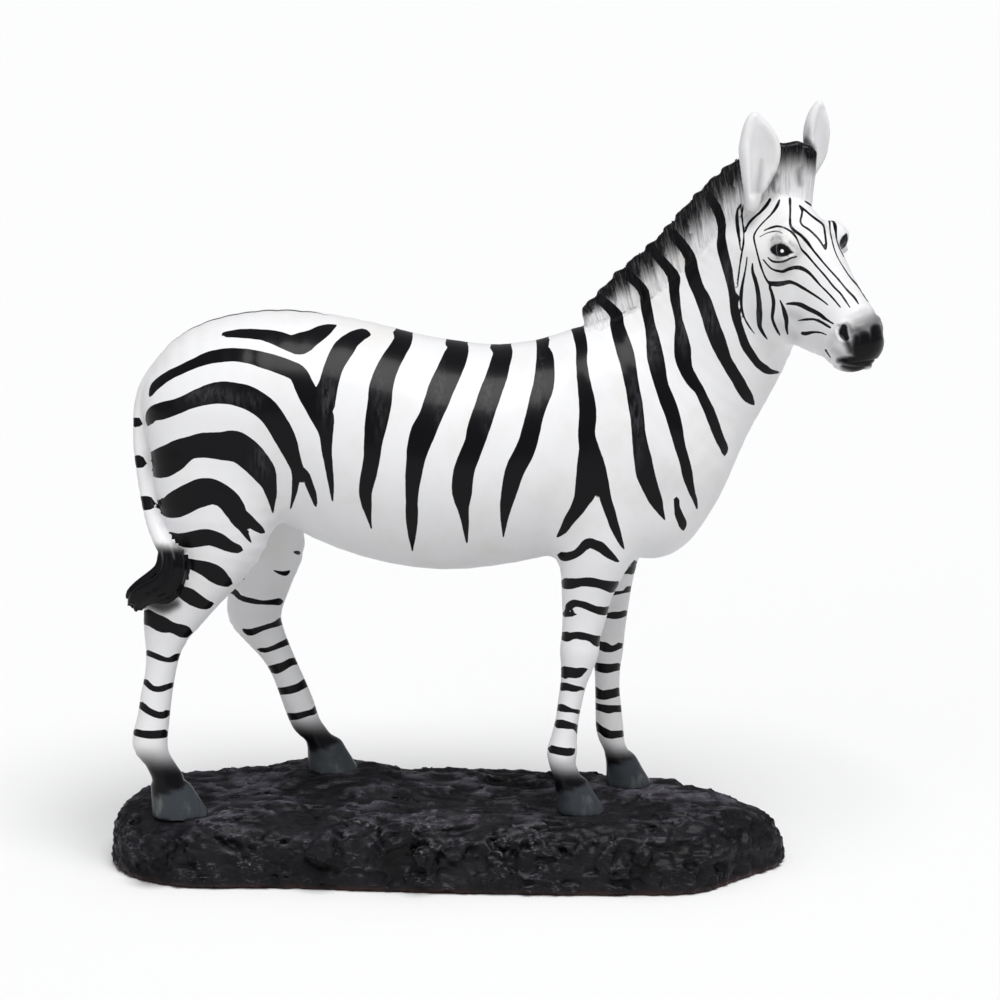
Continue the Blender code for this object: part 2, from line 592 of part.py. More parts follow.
def make_plinth():
    """The rock: stacked rings with a swelling top, and a seat cut for every hoof."""
    half_length, half_depth = plinth_halves()
    outline = outline_at(PLINTH_SIDES)
    points, faces = [], []
    for height, batter in PLINTH_RINGS:
        inset = batter * PLINTH_BATTER
        for i, (share_x, share_y) in enumerate(outline):
            lump = 0.5 * ROCK_RELIEF * math.sin(0.9 * i + 7 * height) * math.sin(math.pi * height)
            x = share_x * (half_length - inset - lump)
            y = share_y * (half_depth - inset - lump)
            points.append((x, y, height * (rock_top(x, y) - RIM_ROUNDING)))
    inset = PLINTH_RINGS[-1][1] * PLINTH_BATTER
    for share_in in TOP_RINGS:
        for share_x, share_y in outline:
            x = share_x * (half_length - inset) * (1 - share_in)
            y = share_y * (half_depth - inset) * (1 - share_in)
            points.append((x, y, rock_top(x, y)))
    points += [(0.0, 0.0, rock_top(0.0, 0.0)), (0.0, 0.0, 0.0)]
    top, bottom = len(points) - 2, len(points) - 1
    count, last = PLINTH_SIDES, len(PLINTH_RINGS) + len(TOP_RINGS) - 1
    for i in range(count):
        j = (i + 1) % count
        for ring in range(last):
            faces.append((ring * count + i, ring * count + j, (ring + 1) * count + j, (ring + 1) * count + i))
        faces.append((last * count + i, last * count + j, top))
        faces.append((j, i, bottom))
    plinth = add_object("rock_plinth", points, faces, material("rock_paint", (0.030, 0.027, 0.029), 0.42))
    for name, centre, foot_length, foot_width, yaw in feet():
        cut_seat(plinth, name, centre, foot_length, foot_width, yaw)
    return plinth


def cut_seat(plinth, name, centre, half_length, half_width, yaw):
    """A shallow oval pocket that the hoof stands in, with room all round it."""
    shape = bmesh.new()
    bmesh.ops.create_cone(shape, cap_ends=True, segments=28, radius1=1.0, radius2=1.0, depth=1.0)
    mesh = bpy.data.meshes.new(f"seat_{name}")
    for vertex in shape.verts:
        x = vertex.co.x * (half_length + POCKET_CLEARANCE)
        y = vertex.co.y * (half_width + POCKET_CLEARANCE)
        floor = centre[2] - SEAT_GAP
        z = floor if vertex.co.z < 0 else floor + 4 * POCKET_DEPTH
        vertex.co = (centre[0] + x * math.cos(yaw) - y * math.sin(yaw),
                     centre[1] + x * math.sin(yaw) + y * math.cos(yaw), z)
    shape.to_mesh(mesh)
    shape.free()
    cutter = bpy.data.objects.new(f"seat_{name}", mesh)
    bpy.context.scene.collection.objects.link(cutter)
    cutter.hide_render = True
    cutter.display_type = "WIRE"
    cut = plinth.modifiers.new(f"seat_{name}", "BOOLEAN")
    cut.operation = "DIFFERENCE"
    cut.object = cutter


def main():
    """Clears the scene, and makes the casting and its plinth."""
    for item in list(bpy.data.objects):
        bpy.data.objects.remove(item, do_unlink=True)
    make_zebra()
    make_plinth()


main()
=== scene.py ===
# %% [markdown]
# # A painted resin zebra on its rock
# The figurine is a hand-painted casting about 30 cm high: a zebra that stands on a plinth of rock
# and turns its head to us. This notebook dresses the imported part. The casting is sculpted again
# with finer clay, the mane and the tail get their locks of hair, every stripe is painted stroke by
# stroke, and the rock gets its ridges, stones and dry-brushed paint.

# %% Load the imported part
import math

import bmesh
import bpy
import numpy as np
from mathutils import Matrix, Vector


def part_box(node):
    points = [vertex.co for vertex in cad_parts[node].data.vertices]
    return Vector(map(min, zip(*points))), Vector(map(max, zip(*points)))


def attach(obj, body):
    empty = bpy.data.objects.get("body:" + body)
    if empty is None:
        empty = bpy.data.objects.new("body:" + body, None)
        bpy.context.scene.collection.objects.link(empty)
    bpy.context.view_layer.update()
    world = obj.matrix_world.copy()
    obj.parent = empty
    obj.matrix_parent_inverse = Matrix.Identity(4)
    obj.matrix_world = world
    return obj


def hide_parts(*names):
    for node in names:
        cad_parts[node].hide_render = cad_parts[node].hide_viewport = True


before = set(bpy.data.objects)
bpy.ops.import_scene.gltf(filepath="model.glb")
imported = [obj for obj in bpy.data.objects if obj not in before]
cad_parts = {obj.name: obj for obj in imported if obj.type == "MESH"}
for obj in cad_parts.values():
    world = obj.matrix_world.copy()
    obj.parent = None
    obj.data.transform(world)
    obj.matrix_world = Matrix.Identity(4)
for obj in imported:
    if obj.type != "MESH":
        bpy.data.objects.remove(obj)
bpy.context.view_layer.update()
zebra_low, zebra_high = (np.array(corner) * 1000 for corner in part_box("zebra"))
rock_low, rock_high = (np.array(corner) * 1000 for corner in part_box("rock_plinth"))

# %% [markdown]
# ## The viewpoint and the drawing sheet
# The photograph was taken from a little above, with a long lens, square to the animal's side. All
# places on the figurine are read from that view as (u, v), a sheet of 1000 by 1000 units with v
# running down. One unit is 0.39 mm on the figurine. Two small functions go both ways: `at` gives
# the point in space behind a place on the sheet at a chosen depth, and `drawn` gives the place on
# the sheet of any point. Lengths in the sculpture are millimetres until the very end.

# %% Camera and drawing sheet
UNIT = 0.39
SHEET_CENTRE = 500.0
VIEW_DISTANCE = 1250.0
VIEW_PITCH = math.radians(12)
VIEW_AIM = np.array((19.7, 0.0, 145.0))
AHEAD = np.array((0.0, math.cos(VIEW_PITCH), -math.sin(VIEW_PITCH)))
UP = np.array((0.0, math.sin(VIEW_PITCH), math.cos(VIEW_PITCH)))
EYE = VIEW_AIM - VIEW_DISTANCE * AHEAD
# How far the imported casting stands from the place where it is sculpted
SHIFT = np.array((0.45, 0.0, 0.0))


def at(u, v, y):
    """The point that the sheet shows at (u, v), y millimetres beyond the mid-plane."""
    ray = AHEAD + (np.array((u - SHEET_CENTRE, 0.0, 0.0)) + (SHEET_CENTRE - v) * UP) * UNIT / VIEW_DISTANCE
    return EYE + ray * (y - EYE[1]) / ray[1]


def drawn(points):
    """The places (u, v) on the sheet of the points."""
    offset = np.asarray(points) - EYE
    scale = VIEW_DISTANCE / UNIT / (offset @ AHEAD)
    return np.stack((SHEET_CENTRE + scale * offset[:, 0], SHEET_CENTRE - scale * (offset @ UP)), axis=1)


# %% [markdown]
# ## Clay
# A cast animal has no edges to extrude: every form melts into the next. So it is described as
# clay. Each muscle, limb or tuft is a chain of oval sections or a single oval ball. Each gives a
# field that is below zero inside, and a smooth minimum melts the fields together. Modelling the
# body with metaballs would be the quickest way, but they have round sections only and give no
# control of how far each form melts.

# %% Chains, balls and hooves
# The field where no form is near, and the margin of the box round a form, in mm
FAR_AWAY, REACH_MARGIN = 60.0, 3.0


def unit(vector):
    """The vector at length one."""
    return np.asarray(vector, float) / np.linalg.norm(vector)


def rounded(stations, steps=3):
    """The stations with smooth ones in between, on a curve that passes through each of them."""
    rows = np.asarray(stations, float)
    padded = np.vstack((2 * rows[0] - rows[1], rows, 2 * rows[-1] - rows[-2]))
    result = []
    for i in range(1, len(padded) - 2):
        a, b, c, d = padded[i - 1:i + 3]
        for t in np.arange(steps) / steps:
            result.append(b + 0.5 * t * (c - a + t * (2 * a - 5 * b + 4 * c - d + t * (3 * (b - c) + d - a))))
    result.append(rows[-1])
    return np.array(result)


def smooth_min(a, b, blend):
    """The lower of two fields, melted together over the blend width."""
    h = np.clip(0.5 + 0.5 * (b - a) / blend, 0.0, 1.0)
    return b + (a - b) * h - blend * h * (1.0 - h)


def smooth_max(a, b, blend):
    """The higher of two fields, melted together over the blend width."""
    return -smooth_min(-a, -b, blend)


def smooth_step(value, low, high):
    """Zero below low, one above high, and a soft rise in between."""
    t = np.clip((value - low) / (high - low), 0.0, 1.0)
    return t * t * (3.0 - 2.0 * t)


def within(places, low, high):
    """The numbers of the places that lie in the box."""
    return np.nonzero(np.all((places > low) & (places < high), axis=1))[0]


def oval_distance(offset, axes, radii):
    """Distance to an oval, near its skin. offset is from its centre, radii belong to the axes."""
    local = np.stack([offset @ axis for axis in axes], axis=1)
    k0 = np.linalg.norm(local / radii, axis=1)
    k1 = np.linalg.norm(local / (radii * radii), axis=1)
    return np.where(k1 > 1e-9, k0 * (k0 - 1.0) / np.maximum(k1, 1e-9), -np.min(radii))


class Chain:
    """A run of oval sections. rows: centre (3), half width along the drawing, half width across."""

    def __init__(self, rows, across, blend, cut=False, caps=0.8):
        self.rows, self.across, self.blend, self.cut, self.caps = rows, unit(across), blend, cut, caps
        reach = rows[:, 3:5].max() + blend + REACH_MARGIN
        self.low = rows[:, :3].min(axis=0) - reach
        self.high = rows[:, :3].max(axis=0) + reach

    def distance(self, points):
        """The chain's field at the points."""
        result = np.full(len(points), FAR_AWAY)
        for start, end in zip(self.rows[:-1], self.rows[1:]):
            reach = max(start[3:5].max(), end[3:5].max()) + self.blend + REACH_MARGIN
            low = np.minimum(start[:3], end[:3]) - reach
            high = np.maximum(start[:3], end[:3]) + reach
            near = within(points, low, high)
            if len(near) == 0:
                continue
            line = end[:3] - start[:3]
            along = unit(line)
            across = unit(self.across - along * (self.across @ along))
            other = np.cross(along, across)
            offset = points[near] - start[:3]
            t = np.clip(offset @ line / (line @ line), 0.0, 1.0)
            offset -= t[:, None] * line
            drawn_half = start[3] + t * (end[3] - start[3])
            wide_half = start[4] + t * (end[4] - start[4])
            radii = np.stack((wide_half, drawn_half, self.caps * np.minimum(wide_half, drawn_half)), axis=1)
            result[near] = np.minimum(result[near], oval_distance(offset, (across, other, along), radii))
        return result


class Ball:
    """A single oval form with its own axes."""

    def __init__(self, centre, radii, axes, blend, cut=False):
        self.centre, self.radii, self.axes = np.asarray(centre, float), np.asarray(radii, float), axes
        self.blend, self.cut = blend, cut
        reach = self.radii.max() + blend + REACH_MARGIN
        self.low, self.high = self.centre - reach, self.centre + reach

    def distance(self, points):
        """The ball's field at the points."""
        return oval_distance(points - self.centre, self.axes, self.radii)


HOOF_HEIGHT, HOOF_SLOPE, HOOF_ROUNDING = 13.2, 0.40, 1.5
# How much of the wall's slope takes from the hoof's length and from its width
HOOF_LENGTH_LOSS, HOOF_WIDTH_LOSS = 0.75, 0.6


class Hoof:
    """An oval cone that widens to its sole, with a raised band where the hair ends."""

    def __init__(self, centre, half_length, half_width, yaw, blend):
        self.centre, self.half_length, self.half_width, self.blend = centre, half_length, half_width, blend
        self.along = np.array((math.cos(yaw), math.sin(yaw), 0.0))
        self.across = np.array((-math.sin(yaw), math.cos(yaw), 0.0))
        self.cut = False
        reach = half_length + blend + REACH_MARGIN
        self.low = centre - np.array((reach, reach, 1.0))
        self.high = centre + np.array((reach, reach, HOOF_HEIGHT + blend + REACH_MARGIN))

    def distance(self, points):
        """The hoof's field at the points."""
        offset = points - self.centre
        height = np.clip(offset[:, 2], 0.0, HOOF_HEIGHT)
        shrink = HOOF_SLOPE * height
        loss, half_width = HOOF_LENGTH_LOSS * shrink, self.half_width - HOOF_WIDTH_LOSS * shrink
        along = (offset @ self.along + loss) / (self.half_length - loss)
        across = (offset @ self.across) / half_width
        wall = (np.hypot(along, across) - 1.0) * half_width * 0.9
        return smooth_max(wall, offset[:, 2] - HOOF_HEIGHT, HOOF_ROUNDING)


def drawn_chain(stations, blend, across=(0, 1, 0), steps=3, cut=False):
    """A chain whose stations are read from the sheet: u, v, depth, half width in units and in mm."""
    rows = [(*at(u, v, y), half_drawn * UNIT, half_across) for u, v, y, half_drawn, half_across in stations]
    return Chain(rounded(rows, steps), across, blend, cut=cut)


# %% [markdown]
# ## Trunk, neck and legs
# The stations follow the animal's build: the back dips behind the withers, the belly is deepest
# behind the elbow, and each leg thins to knee or hock, cannon and fetlock before it spreads to the
# hoof. Every row is u, v, depth, then the half widths.

# %% Trunk, neck, legs and tail
TRUNK = [
    (185, 402, 0, 52, 24), (215, 396, 0, 73, 30), (250, 398, 0, 87, 34.5), (290, 408, 0, 100, 35),
    (340, 428, 0, 111, 35), (393, 446, 0, 115, 36.5), (447, 455, 0, 115, 37.5), (500, 454, 0, 110, 36.5),
    (550, 446, 0, 107, 33), (600, 442, 0, 112, 29), (638, 456, 0, 98, 25), (665, 478, 0, 72, 21),
    (681, 494, 0, 42, 14),
]
NECK = [
    (640, 420, 0, 98, 24), (674, 386, -0.5, 89, 20), (703, 354, -2, 79, 17), (728, 321, -4, 70, 15),
    (746, 286, -6, 59, 13.5), (758, 250, -8, 44, 13),
]
BREAST = ((651, 514, 0), (17.5, 18.5, 17))
NEAR_HIND = [
    (222, 420, -13, 66, 18), (219, 460, -17, 66, 17.5), (219, 500, -19, 60, 16), (218, 535, -19.5, 49, 14),
    (209, 562, -20, 38, 12), (194, 586, -20.5, 31, 10), (174, 611, -21, 29.5, 7.5),
    (167, 630, -21, 23.5, 6.8), (163.5, 650, -21, 17.5, 6), (160.5, 672, -21, 15, 5.4),
    (156.5, 695, -21, 15.5, 5.3), (153.5, 718, -21, 16, 5.6), (150, 742, -21, 17.5, 6.4),
    (156.5, 757, -21, 13.5, 5.6), (163, 769, -21, 13.5, 5.8), (169, 780, -21, 15, 6.4),
]
FAR_HIND = [
    (232, 430, 13, 60, 18), (240, 470, 17, 58, 17), (252, 510, 19, 50, 15), (264, 545, 21, 42, 13),
    (262, 572, 22, 33, 11), (256, 598, 23, 29, 8.5), (255, 613, 23.5, 27.5, 7.6), (263, 630, 24, 21.5, 6.6),
    (274, 648, 24, 16.5, 5.8), (283.5, 666, 24, 14.5, 5.4), (292, 686, 24, 15, 5.3),
    (299, 704, 24, 15.5, 5.6), (306, 722, 24, 14.5, 6), (315.5, 732.5, 24, 11.5, 5.6),
    (322, 741, 24, 11.5, 5.8), (328, 750, 24, 13, 6.2),
]
NEAR_FORE = [
    (602, 440, -13, 42, 13), (604, 480, -15.5, 42, 13.5), (601, 515, -16.5, 40, 13), (597, 545, -17, 36, 12),
    (592, 568, -17, 31.5, 10.5), (587, 592, -17, 25.5, 8.8), (584.5, 615, -17, 22, 7.6),
    (581, 636, -17, 19.3, 7), (579.5, 650, -17, 19.5, 7), (577.5, 664, -17, 16.8, 6.2),
    (573.5, 683, -17, 13, 5), (570, 702, -17, 12, 4.8), (567, 720, -17, 11.5, 5), (564, 738, -17, 13, 5.6),
    (562, 752, -17, 15, 6.2), (562.5, 764, -17, 13, 5.6), (567, 776, -17, 12.5, 5.8),
    (571, 787, -17, 13.5, 6.2),
]
FAR_FORE = [
    (618, 450, 13, 42, 13), (618, 490, 15.5, 40, 13.5), (614, 525, 17, 34, 12), (612, 556, 18, 27, 10.5),
    (611, 580, 18.5, 22, 9), (610, 604, 18.5, 19, 7.8), (608, 628, 18.5, 17.5, 7),
    (607.5, 650, 18.5, 16, 6.8), (607.3, 668, 18.5, 13.2, 5.6), (607.4, 690, 18.5, 12.6, 5),
    (608.5, 710, 18.5, 13.5, 5.2), (610, 730, 18.5, 14, 5.8), (614, 745, 18.5, 11.5, 5.5),
    (619.5, 757, 18.5, 11, 5.6), (624, 767, 18.5, 13, 6),
]
TAIL = [
    (160, 372, -1, 8, 4), (148, 386, -3, 8, 4), (141.5, 404, -5, 7, 3.4), (140.3, 425, -7.5, 7, 3.2),
    (141.8, 446, -10, 8.2, 3), (144.4, 466, -12.5, 8.6, 3), (147.8, 488, -15.5, 8.6, 3),
    (151.2, 509, -19, 8.2, 3.1), (156.5, 529, -23, 8, 3.2), (164, 545, -27, 8.5, 3.5),
]
TAIL_TUFT = [
    (168, 548, -29, 8, 3.4), (171, 562, -31, 9, 4), (169, 578, -31, 10, 4.2), (159, 590, -30, 9, 4),
    (147, 596, -28, 7.5, 3.4), (139, 601, -26, 5, 2.6),
]
# Locks of the tuft: u, v, depth and half width in mm, from the tail's end to the tip of the lock
TUFT_LOCKS = [
    [(163, 545, -28, 1.6), (162, 558, -29.5, 1.9), (159, 568, -30, 1.9), (150, 576, -30, 1.8),
     (139, 584, -29, 1.7), (130, 592, -28, 1.3), (127, 600, -27, 0.7)],
    [(166, 546, -31, 1.6), (168, 560, -33.5, 2.0), (165, 573, -34.5, 2.1), (155, 583, -34, 2.1),
     (143, 589, -32, 2.0), (133, 597, -30, 1.6), (129, 607, -28, 0.8)],
    [(170, 547, -32, 1.6), (174, 562, -35, 2.1), (172, 577, -35.5, 2.2), (162, 589, -35, 2.2),
     (150, 595, -33, 2.0), (140, 602, -30.5, 1.7), (134, 612, -28.5, 0.8)],
    [(175, 549, -31.5, 1.5), (180, 563, -34, 2.0), (178.5, 578, -34.5, 2.1), (170, 591, -34, 2.1),
     (157, 598, -32.5, 1.9), (147, 602, -31, 1.5), (141, 609, -29.5, 0.7)],
    [(178, 551, -29.5, 1.4), (182.5, 564, -31, 1.8), (181, 579, -31.5, 1.9), (176, 592, -31.5, 1.7),
     (168, 600, -31, 1.4), (158, 602.5, -30, 0.7)],
    [(165, 548, -27, 1.5), (167, 562, -27, 1.9), (163, 576, -26.5, 2.0), (153, 586, -26, 1.9),
     (142, 592, -25.5, 1.8), (134, 600, -25.5, 1.4), (131, 608, -26, 0.7)],
    [(172, 549, -27.5, 1.5), (176, 564, -27.5, 1.9), (173, 580, -27, 2.0), (163, 591, -26.5, 2.0),
     (151, 597, -26, 1.8), (142, 603, -26, 1.3), (137, 611, -26.5, 0.7)],
]
GROUND = 23.5
FAR_HIND_RISE = 4.5
# Hooves: centre u and v at the sole, depth, half length, half width, yaw in degrees, seat height
HOOVES = {
    "near_hind": (181, 812, -21, 11.4, 8.8, 4, GROUND),
    "far_hind": (334, 768, 24, 10.6, 8.4, -4, GROUND + FAR_HIND_RISE),
    "near_fore": (581.5, 814.5, -17, 9.8, 8.4, 3, GROUND),
    "far_fore": (629.5, 789, 18.5, 9.4, 8.2, -3, GROUND),
}
BODY_BLEND, LEG_BLEND, NECK_BLEND, HEAD_BLEND, TRIM_BLEND, TUFT_BLEND = 14, 11, 13, 9, 2.2, 1.6
HOOF_BLEND, LOCK_BLEND = 2.5, 0.7


def hoof_centre(name):
    """The middle of the hoof's sole."""
    u, v, y, *_, seat = HOOVES[name]
    centre = at(u, v, y)
    centre[2] = seat
    return centre


def hoof_forms():
    """The four hooves, each on its own seat."""
    forms = []
    for name, (_, _, _, half_length, half_width, yaw, _) in HOOVES.items():
        forms.append(Hoof(hoof_centre(name), half_length, half_width, math.radians(yaw), HOOF_BLEND))
    return forms


limb_forms = {name: drawn_chain(stations, LEG_BLEND) for name, stations in (
    ("near_hind", NEAR_HIND), ("far_hind", FAR_HIND), ("near_fore", NEAR_FORE), ("far_fore", FAR_FORE))}
trunk_form = drawn_chain(TRUNK, BODY_BLEND)
neck_form = drawn_chain(NECK, NECK_BLEND)
breast_form = Ball(at(*BREAST[0]), BREAST[1], np.eye(3), LEG_BLEND)


def lock_form(stations, blend):
    """A round lock of hair, read from the sheet."""
    rows = [(*at(u, v, y), half, half) for u, v, y, half in stations]
    return Chain(rounded(rows), (0, 1, 0), blend, caps=1.0)


tuft_locks = [lock_form(stations, LOCK_BLEND) for stations in TUFT_LOCKS]
tail_forms = [drawn_chain(TAIL, TRIM_BLEND), drawn_chain(TAIL_TUFT, TUFT_BLEND), *tuft_locks]
print("limbs:", {name: len(form.rows) for name, form in limb_forms.items()})

# %% [markdown]
# ## Head, ears and mane
# The head has a frame of its own, turned 48 degrees to us and 41 degrees down: f runs from poll to
# nose, g out of the forehead and h to the animal's right. Lids, nostril rims and the mouth are thin
# chains laid on the skull or cut into it. An ear is a leaf with a hollow cut into it.

# %% Head, ears and mane
HEAD_ORIGIN = np.array((126.5, -8.0, 266.0))
HEAD_YAW, HEAD_PITCH = math.radians(48), math.radians(41)
HEAD_FORWARD = np.array((math.cos(HEAD_PITCH) * math.cos(HEAD_YAW),
                         -math.cos(HEAD_PITCH) * math.sin(HEAD_YAW), -math.sin(HEAD_PITCH)))
HEAD_OUT = np.array((math.sin(HEAD_PITCH) * math.cos(HEAD_YAW), -math.sin(HEAD_PITCH) * math.sin(HEAD_YAW),
                     math.cos(HEAD_PITCH)))
HEAD_SIDE = np.array((-math.sin(HEAD_YAW), -math.cos(HEAD_YAW), 0.0))
HEAD_AXES = (HEAD_FORWARD, HEAD_OUT, HEAD_SIDE)
# Stations of the skull: f, g at its top, g at its underside, half width across
SKULL = [
    (-7, 2, -24, 11), (4, 4, -30, 12.5), (15, 5.5, -35, 14), (25, 5, -39, 14.6), (35, 3.6, -39, 13),
    (45, 2, -35, 11.4), (54, 0.6, -29.5, 10.6), (61, -1, -26, 10.8), (66.5, -4, -24.5, 9.6),
]
CHEEK = ((26, -27, 9.5), (15, 13.5, 6.5))
BROW = ((22.5, -0.8, 12.4), (5.5, 4.6, 4.6))
EYEBALL = ((25, -4.2, 14.2), 4.3)
CHIN = ((62, -22.5, 0), (7, 4.5, 6.5))
NEAR_EAR = [
    (752, 206, -18, 7, 4), (753.5, 192, -18, 9.5, 4.8), (757, 176, -18, 15.5, 5.2),
    (759.5, 160, -18, 19.5, 5.2), (759.3, 146, -18, 20, 4.8), (756.5, 131, -18, 15, 3.8),
    (754.5, 121, -18, 9, 2.8), (755, 115, -18, 4, 1.6),
]
FAR_EAR = [
    (805.5, 199, 0, 5.5, 4), (806, 186, 0, 6, 4.6), (811, 171, 0, 8.5, 5), (816, 155, 0, 12, 5.2),
    (817, 143, 0, 13.5, 4.8), (817.3, 132, 0, 13.8, 4.2), (817.8, 121, 0, 12, 3.4),
    (818.5, 111, 0, 8.5, 2.6), (819.5, 104, 0, 4, 1.6),
]
# Tufts of the mane: root and tip on the sheet, and depth
MANE = [
    ((590, 321), (586, 308), 0), ((601, 318), (596.5, 297.5), 0), ((614, 314), (606, 286), -0.2),
    ((627, 308), (617, 273), -0.4), ((640, 302), (630, 261), -0.8), ((653, 294), (643, 250), -1.2),
    ((666, 285), (655, 239), -1.7), ((678, 274), (667, 226), -2.3), ((689, 263), (679, 212), -3),
    ((700, 252), (691, 199), -3.8), ((711, 241), (702, 188), -4.6), ((722, 229), (713, 177), -5.4),
    ((733, 218), (725, 167), -6.2), ((744, 208), (738, 158), -7), ((756, 204), (751, 151), -8),
    ((768, 201), (764, 146), -9), ((779, 201), (777, 142), -9.5), ((790, 201), (791, 140), -9.5),
    ((799, 202), (804, 141), -9), ((806, 201), (813, 148), -8.5),
]
MANE_LENGTHWISE, MANE_ROOT_WIDTH, MANE_TIP_WIDTH, MANE_RAGGED = 2.2, 4.4, 2.4, 0.8
CHEEK_BLEND, CHIN_BLEND, EYE_BLEND, EYE_FLATNESS = 5, 3, 1.2, 0.8
EAR_BLEND, EAR_CUP_BLEND = 3.0, 2.4
# Hollow of the ear, as shares of the leaf's width and depth
EAR_CUP_SHARE, EAR_CUP_DEPTH = 0.66, 0.72
NEAR_CUP_SHIFT, FAR_CUP_SHIFT = np.array((1.5, -3.6, 0.0)), np.array((2.2, -2.4, 0.0))


def head_point(f, g, h):
    """A point of the head's frame in space."""
    return HEAD_ORIGIN + f * HEAD_FORWARD + g * HEAD_OUT + h * HEAD_SIDE


def in_head(points):
    """The points in the head's frame."""
    offset = np.asarray(points) - HEAD_ORIGIN
    return np.stack([offset @ axis for axis in HEAD_AXES], axis=1)


def skull_form():
    """The skull's own chain."""
    rows = []
    for f, top, bottom, half_across in SKULL:
        rows.append((*head_point(f, (top + bottom) / 2, 0), (top - bottom) / 2, half_across))
    return Chain(rounded(rows), HEAD_SIDE, HEAD_BLEND)


skull = skull_form()


def head_forms():
    """Skull, cheeks, brows, chin and eyes."""
    forms = [skull]
    for side in (1, -1):
        for (f, g, h), radii in (CHEEK, BROW):
            forms.append(Ball(head_point(f, g, side * h), radii, HEAD_AXES, CHEEK_BLEND))
    forms.append(Ball(head_point(*CHIN[0]), CHIN[1], HEAD_AXES, CHIN_BLEND))
    for side in (1, -1):
        (f, g, h), radius = EYEBALL
        radii = (radius, radius * EYE_FLATNESS, radius * EYE_FLATNESS)
        forms.append(Ball(head_point(f, g, side * h), radii, HEAD_AXES, EYE_BLEND))
    return forms


def ear_forms(stations, cup_shift):
    """A leaf, and the hollow cut into the side that it shows."""
    leaf = drawn_chain(stations, EAR_BLEND)
    rows = []
    for u, v, y, half_drawn, half_across in stations[1:-1]:
        rows.append((*(at(u, v, y) + cup_shift), half_drawn * UNIT * EAR_CUP_SHARE,
                     half_across * EAR_CUP_DEPTH))
    return [leaf, Chain(rounded(rows), (0, 1, 0), EAR_CUP_BLEND, cut=True)]


def mane_forms():
    """The brush of the mane, one tuft after another."""
    forms = []
    rows = rounded([(*root, *tip, y) for root, tip, y in MANE], 2)
    for k, (root_u, root_v, tip_u, tip_v, y) in enumerate(rows):
        root, tip = at(root_u, root_v, y), at(tip_u, tip_v, y)
        tip = tip + MANE_RAGGED * math.sin(2.4 * k) * unit(tip - root)
        rows = np.array(((*root, MANE_LENGTHWISE, MANE_ROOT_WIDTH),
                         (*(0.45 * root + 0.55 * tip), MANE_LENGTHWISE, 0.85 * MANE_ROOT_WIDTH),
                         (*(0.1 * root + 0.9 * tip), 0.8 * MANE_LENGTHWISE, MANE_TIP_WIDTH)))
        forms.append(Chain(rows, (0, 1, 0), TRIM_BLEND))
    return forms


near_ear_forms = ear_forms(NEAR_EAR, NEAR_CUP_SHIFT)
far_ear_forms = ear_forms(FAR_EAR, FAR_CUP_SHIFT)
tufts = mane_forms()
head_base = head_forms()
print("tufts:", len(tufts), "forms of the head:", len(head_base))

# %% [markdown]
# ## Fine work on the face
# Lids, folds, nostrils and lips are far thinner than the head. Each is a thin chain that runs on
# the skin: its stations are places on the sheet, and a ray from the viewpoint finds the skin
# behind each of them. The same chain is mirrored about the head's mid-plane for the other side.

# %% Lids, nostrils and mouth
# Lines laid on the skin and lines cut into it: u, v and half width in mm
RAISED_LINES = [
    [(767.5, 249.5, 0.35), (771.5, 244, 0.75), (776.5, 241.2, 0.95), (783, 241, 0.95), (788.5, 244.6, 0.8),
     (794.5, 251.4, 0.4)],
    [(769, 251.5, 0.4), (773, 256.6, 0.7), (778.5, 259.3, 0.8), (784.5, 259, 0.75), (789.6, 256.6, 0.6),
     (795, 253.6, 0.35)],
    [(764, 247, 0.4), (768, 241.5, 0.8), (775, 237.3, 1.0), (783, 236.6, 1.0), (790, 240, 0.8),
     (796, 246.5, 0.4)],
    [(843, 322.2, 0.5), (838.8, 325, 0.75), (837.2, 331, 0.85), (838.8, 337.6, 0.85), (844, 342, 0.8),
     (850, 341, 0.5)],
    [(842, 322.4, 0.5), (847, 321.8, 0.8), (851.6, 324.6, 0.85), (853, 331, 0.7), (851.5, 337.5, 0.5)],
    [(835, 366.4, 0.5), (842, 367.6, 1.3), (852, 368.2, 1.5), (862, 366.6, 1.2), (869, 364.2, 0.6)],
]
CUT_LINES = [
    [(841.8, 327.5, 1.1), (841.8, 333, 1.7), (845, 338, 1.3)],
    [(847, 326, 1.0), (848.5, 332, 1.3), (847.5, 337, 1.0)],
    [(824.5, 349.8, 0.45), (827.5, 354, 0.4), (831.5, 358.6, 0.45), (837.5, 362.4, 0.5), (846, 364, 0.5),
     (856, 363.4, 0.5), (865, 361.9, 0.45), (873, 360.4, 0.4)],
    [(765, 251, 0.25), (768.3, 245.4, 0.3), (773.5, 240, 0.3), (780, 238.4, 0.3), (787.5, 240.6, 0.3),
     (793.5, 246.5, 0.25)],
]
RAISED_BLEND, CUT_BLEND = 0.9, 0.6


def on_skin(u, v, forms, nearest=-62.0, farthest=30.0, steps=230):
    """The first point of the forms' skin behind a place on the sheet."""
    depths = np.linspace(nearest, farthest, steps)
    spots = np.array([at(u, v, y) for y in depths])
    values = np.full(steps, FAR_AWAY)
    for form in forms:
        values = smooth_min(values, form.distance(spots), form.blend)
    inside = np.nonzero(values < 0)[0]
    k = inside[0] if len(inside) else int(values.argmin())
    if k == 0 or not len(inside):
        return spots[k]
    share = values[k - 1] / (values[k - 1] - values[k])
    return spots[k - 1] + share * (spots[k] - spots[k - 1])


def mirrored_over_head(points):
    """The points on the other side of the head's mid-plane."""
    return points - 2 * ((points - HEAD_ORIGIN) @ HEAD_SIDE)[:, None] * HEAD_SIDE


